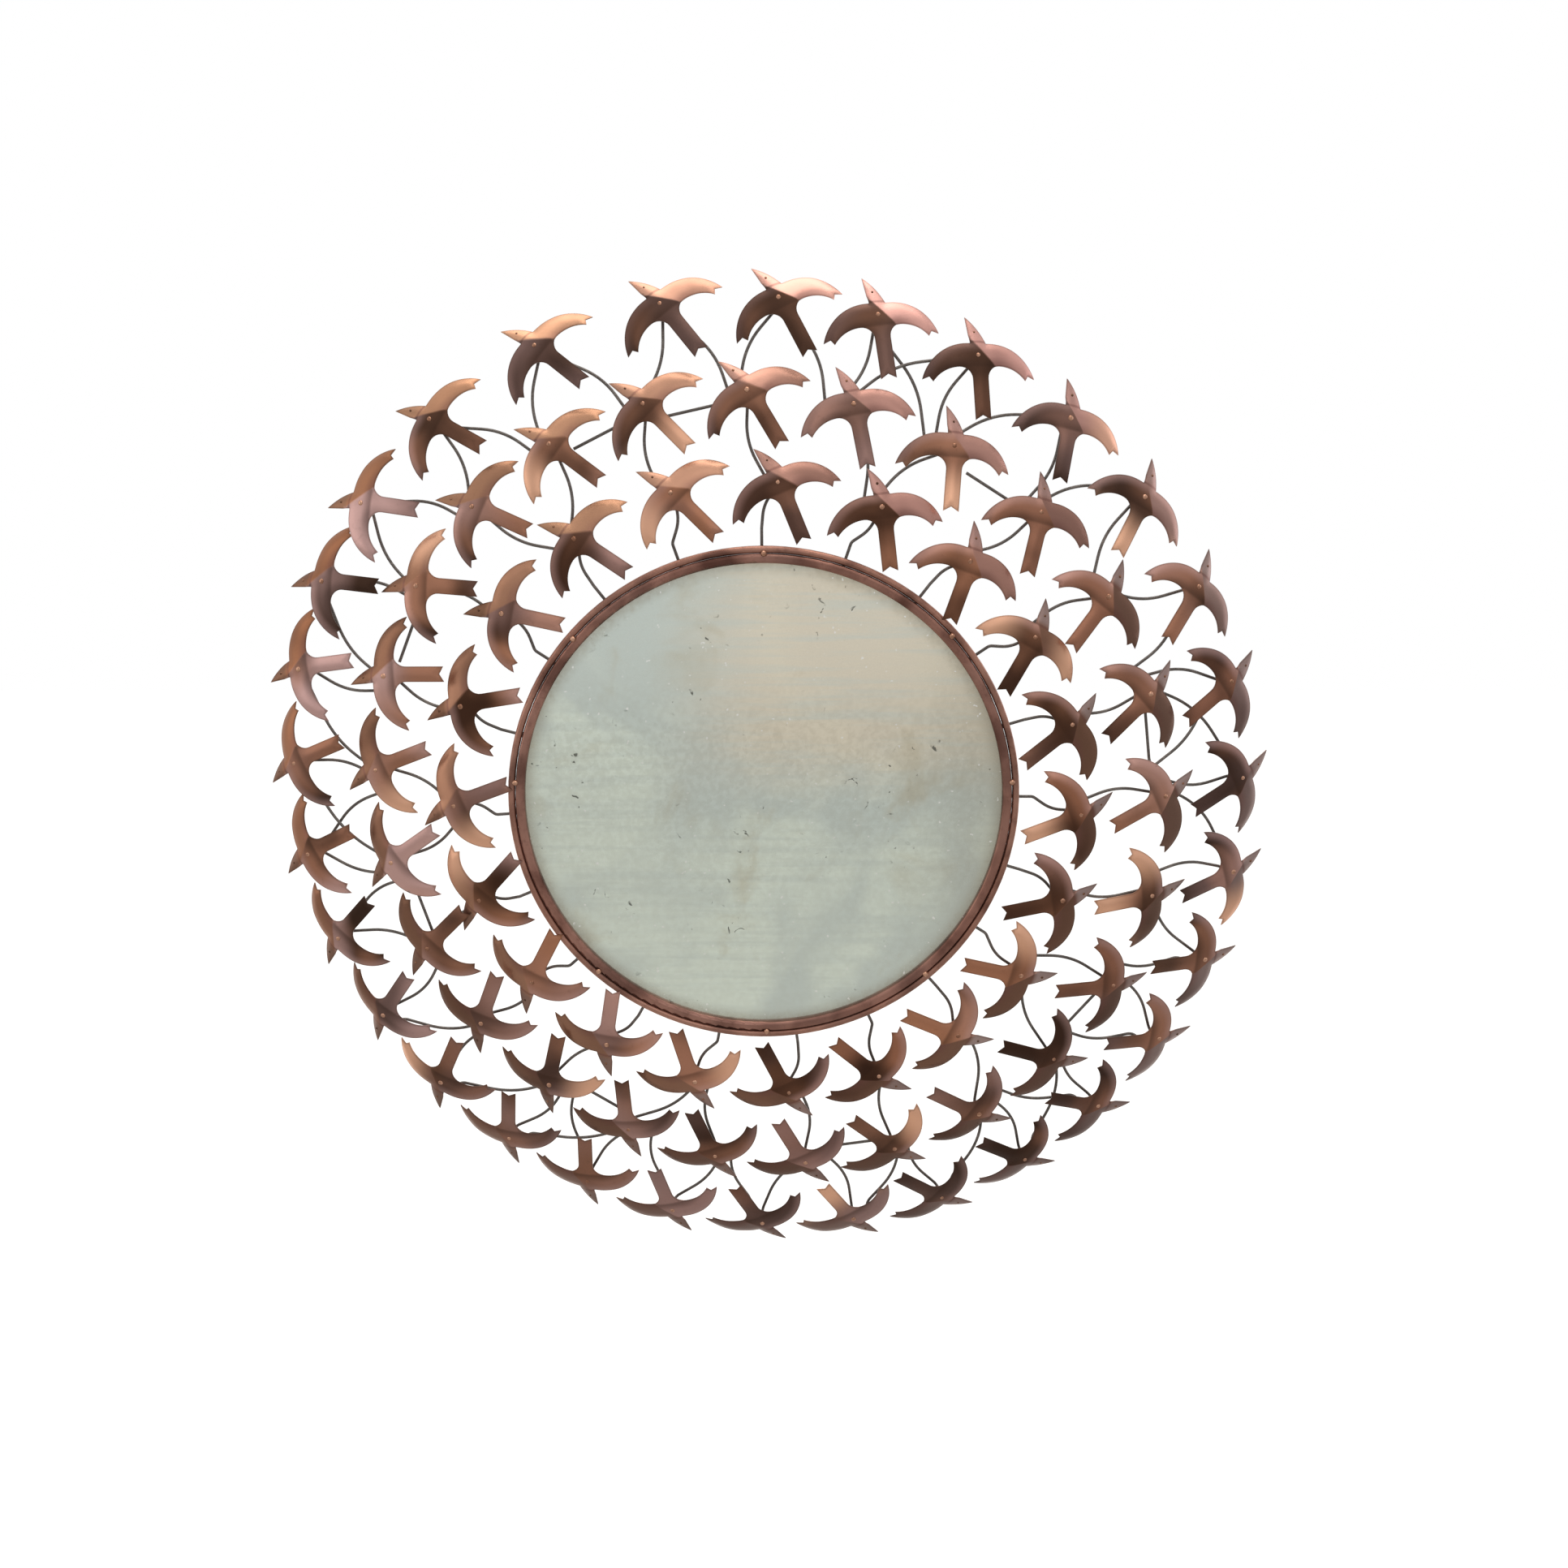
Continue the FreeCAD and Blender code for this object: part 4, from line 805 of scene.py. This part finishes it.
def makeAgedMirrorAndReflection():
    f = glassFinish
    material, tree, shader = newMaterial("agedMirrorAndPaintedReflection", {
        "Metallic": f["metallic"], "Coat Weight": f["coat"], "Coat Roughness": f["coatRough"]})
    local = vec(tree, "SUBTRACT", objectSpot(tree), f["center"])
    x, _, z = split(tree, local)
    cloud, warmth, stain, mottle, speck, patch, dot = (noise(tree, local, *f[key]) for key in (
        "clouds", "warmth", "stains", "mottle", "specks", "patches", "dots"))
    # painted reflection, warm toward the upper right
    side = plus(tree, x, times(tree, warmth, f["wander"]))
    high = plus(tree, z, times(tree, cloud, f["wander"]))
    paintedWarmReflection = times(tree, spread(tree, side, *f["toRight"]), spread(tree, high, *f["toTop"]))
    wipe = noise(tree, vec(tree, "MULTIPLY", local, f["wipeStretch"]), *f["wipe"])
    radius = vec(tree, "LENGTH", joined(tree, x, 0.0, z))
    rim = plus(tree, radius, times(tree, mottle, f["rimWander"]))
    speck = times(tree, spread(tree, speck, *f["black"]), spread(tree, patch, *f["patchy"]))
    color = layered(
        tree, f["cool"], (spread(tree, cloud, *f["clear"]), f["pale"]),
        (times(tree, paintedWarmReflection, f["warmShare"]), f["paintedWarmReflection"]), (spread(tree, wipe, *f["wiped"]), f["cool"]),
        (spread(tree, stain, *f["stained"]), f["stain"]), (spread(tree, mottle, *f["mottled"]), f["edge"]),
        (spread(tree, x, *f["rightEdge"]), f["edge"]), (spread(tree, rim, *f["rim"]), f["edge"]),
        (times(tree, speck, f["blackShare"]), f["spot"]), (spread(tree, dot, *f["dusty"]), f["dust"]))
    rough = plus(tree, spread(tree, mottle, *f["rough"]), times(tree, speck, f["speckRough"]))
    paint(tree, shader, color, rough, cloud, f["relief"])
    return material


ringFinish = {
    "bezelCopper": {"oxide": rgb(90, 58, 49), "copper": rgb(154, 111, 97), "blush": rgb(182, 140, 126),
                    "dark": 0.44, "node": "bezel_ring"},
    "rodCopper": {"oxide": rgb(90, 58, 49), "copper": rgb(158, 114, 98), "blush": rgb(196, 150, 132),
                  "dark": 0.42, "node": "outer_rod"},
    "hoopCopper": {"oxide": rgb(58, 36, 29), "copper": rgb(112, 72, 58), "blush": rgb(134, 92, 78),
                   "dark": 0.5, "node": "hoop_band"}}
ringMarks = {"metallic": 0.85, "seed": 3.3, "scale": 24.0, "blushShare": 0.3, "scratchScale": 120.0,
             "stretch": (1.0, 1.0, 1.0), "scratchShare": 0.35, "relief": (0.0008, 0.5)}


def makeRingCopper(name, ring):
    m = ringMarks
    material, tree, shader = newMaterial(name, {"Metallic": m["metallic"]})
    spot = objectSpot(tree)
    tone = useGroup(tree, heatedCopper, {
        "Position": spot, "Seed": m["seed"], "Scale": m["scale"], "Oxide": ring["oxide"],
        "Copper": ring["copper"], "Blush": ring["blush"], "Blush share": m["blushShare"],
        "Dark share": ring["dark"]})
    marks = useGroup(tree, fineScratches, {
        "Position": spot, "Scale": m["scratchScale"], "Stretch": m["stretch"]})
    color = blendColor(tree, times(tree, marks["Mask"], m["scratchShare"]), tone["Color"], ring["oxide"])
    paint(tree, shader, color, tone["Rough"], tone["Height"], m["relief"])
    return material


metals = {
    "darkWire": {"dark": rgb(88, 82, 78), "light": rgb(140, 132, 126), "metallic": 0.6,
                 "rough": (0.42, 0.6), "scale": 160.0, "nodes": [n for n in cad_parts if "wires" in n]},
    "screwSteel": {"dark": rgb(118, 116, 112), "light": rgb(178, 177, 172), "metallic": 1.0,
                   "rough": (0.28, 0.45), "scale": 400.0,
                   "nodes": ["button_screws", "batten_screws", "hanger_screws"]},
    "plateSteel": {"dark": rgb(104, 104, 102), "light": rgb(164, 164, 160), "metallic": 1.0,
                   "rough": (0.3, 0.5), "scale": 150.0, "nodes": ["hanger_plate_left", "hanger_plate_right"]},
    "buttonBrass": {"dark": rgb(128, 98, 52), "light": rgb(190, 156, 92), "metallic": 1.0,
                    "rough": (0.3, 0.48), "scale": 180.0,
                    "nodes": ["turn_button_%d" % k for k in range(1, 7)]}}
metalMarks = {"scratchShare": 0.4, "cloudShare": 0.6, "blend": (0.2, 0.7), "roughFrom": (0.1, 0.8),
              "relief": (0.0003, 0.35)}


def makeMetal(name, metal):
    m = metalMarks
    material, tree, shader = newMaterial(name, {"Metallic": metal["metallic"]})
    marks = useGroup(tree, fineScratches, {"Position": objectSpot(tree), "Scale": metal["scale"]})
    mix = pairSum(tree, marks["Mask"], m["scratchShare"], marks["Cloud"], m["cloudShare"])
    color = blendColor(tree, spread(tree, mix, *m["blend"]), metal["dark"], metal["light"])
    paint(tree, shader, color, spread(tree, mix, *m["roughFrom"], *metal["rough"]), mix, m["relief"])
    return material


woods = {
    "plywood": {"along": (1.2, 16.0, 16.0), "early": rgb(214, 184, 142), "late": rgb(178, 138, 96),
                "nodes": ["backing_board"]},
    "battenWood": {"along": (1.4, 26.0, 26.0), "early": rgb(186, 144, 96), "late": rgb(120, 80, 48),
                   "nodes": ["upper_batten", "lower_batten"]},
    # card is a fine wood with no direction
    "linerCard": {"along": (30.0, 30.0, 30.0), "early": rgb(136, 120, 98), "late": rgb(104, 90, 72),
                  "nodes": ["liner_card"]}}
woodMarks = {"rough": (0.3, 0.7, 0.55, 0.75), "relief": (0.0005, 0.4)}


def makeWood(name, wood):
    material, tree, shader = newMaterial(name)
    rings = useGroup(tree, woodGrain, {
        "Position": objectSpot(tree), "Along": wood["along"], "Early": wood["early"], "Late": wood["late"]})
    rough = spread(tree, rings["Height"], *woodMarks["rough"])
    paint(tree, shader, rings["Color"], rough, rings["Height"], woodMarks["relief"])
    return material


feltFinish = {"dark": rgb(40, 38, 36), "light": rgb(74, 70, 66), "fibre": (900.0, 4.0, 0.7, 1.5),
              "blend": (0.35, 0.65), "rough": (0.3, 0.7, 0.85, 0.97), "relief": (0.0008, 0.6)}


def makeFelt():
    f = feltFinish
    material, tree, shader = newMaterial("darkFelt")
    fibre = noise(tree, objectSpot(tree), *f["fibre"])
    color = blendColor(tree, spread(tree, fibre, *f["blend"]), f["dark"], f["light"])
    paint(tree, shader, color, spread(tree, fibre, *f["rough"]), fibre, f["relief"])
    return material


dress(makeAgedMirrorAndReflection(), "mirror_glass")
dress(solder, "braze_beads")
dress(makeFelt(), "wall_pads")
for name, ring in ringFinish.items():
    dress(makeRingCopper(name, ring), ring["node"])
metalOf = {name: makeMetal(name, metal) for name, metal in metals.items()}
for name, metal in metals.items():
    dress(metalOf[name], *metal["nodes"])
for name, wood in woods.items():
    dress(makeWood(name, wood), *wood["nodes"])
print("solid nodes dressed")


# weld blobs where the wires stand on the backs of the birds and on the hoop

weldSizes = {"radius": 2.9, "height": 2.4, "sink": 0.35, "below": 0.1, "rings": 2, "sides": 8, "sharp": 60,
             "sizes": (0.85, 0.3), "stem": (-3, -5), "branch": (-10, 1), "branchStep": 8, "stubEvery": 3,
             "linkWing": (-18, 0), "linkTail": (3, -20), "rootLag": 3, "rootDepth": -70}


def onward(one, other):
    # degrees round the ring from one bird to another
    return (other["place"] - one["place"] + 180) % 360 - 180


def weldPoints():
    s, points, slots = weldSizes, [], {}
    inner, middle, outer = flocks.values()
    for children, parents, ties in ((middle, inner, 1), (outer, middle, 2)):
        for child in children:
            near = sorted(parents, key=lambda parent: abs(onward(parent, child)))
            for parent in near[:ties]:
                slots[id(parent)] = slots.get(id(parent), 0) + 1
            if ties > 1:
                points.append((child, s["linkTail"] if onward(child, near[1]) > 0 else s["linkWing"]))
    for k, pose in enumerate(middle):
        slots[id(pose)] = slots.get(id(pose), 0) + (k % s["stubEvery"] == 0)
    side, ahead = s["branch"]
    for pose in allPoses:
        points.append((pose, s["stem"]))
        points += [(pose, (side - s["branchStep"] * n, ahead)) for n in range(slots.get(id(pose), 0))]
    return points


def makeWelds(finish):
    s = weldSizes
    points = weldPoints()
    depth = edgeDistance([at for pose, at in points], birdOutline())
    backs = [-birdSizes["sheet"] - s["below"] - domeDrop(d) for d in depth]
    spots = [birdSpot(pose, *at, back) * mm for (pose, at), back in zip(points, backs)]
    over = Matrix(((1, 0, 0), (0, -1, 0), (0, 0, -1)))
    turns = [(pose["turn"] @ over).to_quaternion() for pose, at in points]
    low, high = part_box("hoop_band")
    root = Vector((0, s["rootDepth"] * mm, (high[0] - low[0]) / 2))
    for pose in flocks["inner"]:
        clock = Matrix.Rotation(math.radians(pose["place"] - s["rootLag"]), 3, "Y")
        spots.append(clock @ root - Vector((0, 0, flockSizes["axisDrop"] * mm)))
        turns.append(clock.to_quaternion())
    seeds = [k * flockSizes["seedStep"] for k in range(len(spots))]
    piece = setStuds("weldBlobs", s, spots, turns, seeds, finish)
    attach(piece, "mirror")


makeWelds(metalOf["darkWire"])


# floor, world, lamps and camera

floorSizes = {"level": -1.75, "size": 14.0, "dark": rgb(226, 224, 220), "light": rgb(231, 229, 225),
              "rough": 0.8, "grain": (6.0, 2.0, 0.55), "blend": (0.3, 0.7), "glow": 0.6,
              "glowFrom": (0.2, 0.9)}


def shinyRay(tree, path):
    return calc(tree, "MAXIMUM", path["Is Glossy Ray"], path["Is Transmission Ray"])


def makeFloor():
    f = floorSizes
    half = f["size"] / 2
    corners = [(x * half, y * half, f["level"]) for x, y in ((-1, -1), (1, -1), (1, 1), (-1, 1))]
    mesh = bpy.data.meshes.new("floor")
    mesh.from_pydata(corners, [], [(0, 1, 2, 3)])
    floor = bpy.data.objects.new("floor", mesh)
    scene.collection.objects.link(floor)
    material, tree, shader = newMaterial("paleFloor", {"Roughness": f["rough"]})
    spot = objectSpot(tree)
    share = spread(tree, noise(tree, spot, *f["grain"]), *f["blend"])
    tree.links.new(blendColor(tree, share, f["dark"], f["light"]), shader.inputs["Base Color"])
    path = tree.nodes.new("ShaderNodeLightPath").outputs
    # white to the camera; metal and glass see that white behind the object, where it is the backdrop
    behind = spread(tree, split(tree, spot)[1], *f["glowFrom"])
    seen = calc(tree, "MAXIMUM", path["Is Camera Ray"], times(tree, shinyRay(tree, path), behind))
    glow = put(tree, "ShaderNodeEmission", {"Color": (1, 1, 1, 1), "Strength": times(tree, seen, f["glow"])})
    mixed = put(tree, "ShaderNodeAddShader", {0: shader.outputs[0], 1: glow.outputs[0]}).outputs[0]
    tree.links.new(mixed, tree.nodes["Material Output"].inputs["Surface"])
    mesh.materials.append(material)


worldLevels = {"ambient": 0.62, "front": 0.71, "white": 1.0, "toFront": (0.25, -0.55), "toTop": (0.85, 0.45)}


def makeWorld():
    w = worldLevels
    world = bpy.data.worlds.new("studio")
    scene.world = world
    world.use_nodes = True
    tree = world.node_tree
    path = tree.nodes.new("ShaderNodeLightPath").outputs
    way = split(tree, tree.nodes.new("ShaderNodeTexCoord").outputs["Generated"])
    # metal sees the white backdrop behind and overhead, and a dimmer room in front
    room = times(tree, spread(tree, way[1], *w["toFront"]), spread(tree, way[2], *w["toTop"]))
    mirrored = minus(tree, w["white"], times(tree, room, 1 - w["front"]))
    strength = times(tree, shinyRay(tree, path), minus(tree, mirrored, w["ambient"]))
    strength = plus(tree, strength, w["ambient"])
    seen = path["Is Camera Ray"]
    strength = plus(tree, times(tree, strength, minus(tree, 1.0, seen)), seen)
    tree.links.new(strength, tree.nodes["Background"].inputs["Strength"])
    tree.nodes["Background"].inputs["Color"].default_value = (1, 1, 1, 1)


lamps = {
    "overhead": {"spot": (0.1, 0.1, 2.1), "aim": (0, -0.05, -0.1), "size": (2.4, 1.6), "power": 30,
                 "color": (1.0, 0.95, 0.89)},
    "rightFill": {"spot": (2.3, 0.7, 0.3), "aim": (0, -0.05, -0.2), "size": (1.6, 1.8), "power": 9,
                  "color": (0.95, 0.92, 1.0)},
    "leftFill": {"spot": (-2.4, -0.9, 0.5), "aim": (0, -0.05, -0.2), "size": (1.6, 1.8), "power": 7,
                 "color": (1.0, 0.95, 0.9)},
    "front": {"spot": (0.6, -3.0, 1.5), "aim": (0, -0.05, -0.15), "size": (2.0, 2.0), "power": 8,
              "color": (1.0, 0.98, 0.96)}}


def makeLamps():
    for name, lamp in lamps.items():
        light = bpy.data.lights.new(name, "AREA")
        light.shape = "RECTANGLE"
        light.size, light.size_y = lamp["size"]
        light.energy = lamp["power"]
        light.color = lamp["color"]
        holder = bpy.data.objects.new(name, light)
        scene.collection.objects.link(holder)
        holder.location = lamp["spot"]
        way = Vector(lamp["aim"]) - Vector(lamp["spot"])
        holder.rotation_euler = way.to_track_quat("-Z", "Y").to_euler()


cameraSizes = {"aim": (0, -0.0815, -0.15), "distance": 2.2, "height": 16.3, "lens": 51.61, "sensor": 36,
               "shift": (0.01294, 0.00942)}


def makeCamera():
    data = bpy.data.cameras.new("photoCamera")
    data.sensor_width = cameraSizes["sensor"]
    data.lens = cameraSizes["lens"]
    data.shift_x, data.shift_y = cameraSizes["shift"]
    camera = bpy.data.objects.new("photoCamera", data)
    scene.collection.objects.link(camera)
    back = Vector((0, -wave(cameraSizes["height"]), rise(cameraSizes["height"])))
    camera.location = Vector(cameraSizes["aim"]) + back * cameraSizes["distance"]
    camera.rotation_euler = (-back).to_track_quat("-Z", "Y").to_euler()
    scene.camera = camera


makeFloor()
makeWorld()
makeLamps()
makeCamera()
scene.view_settings.view_transform = "Standard"
print("stage set")
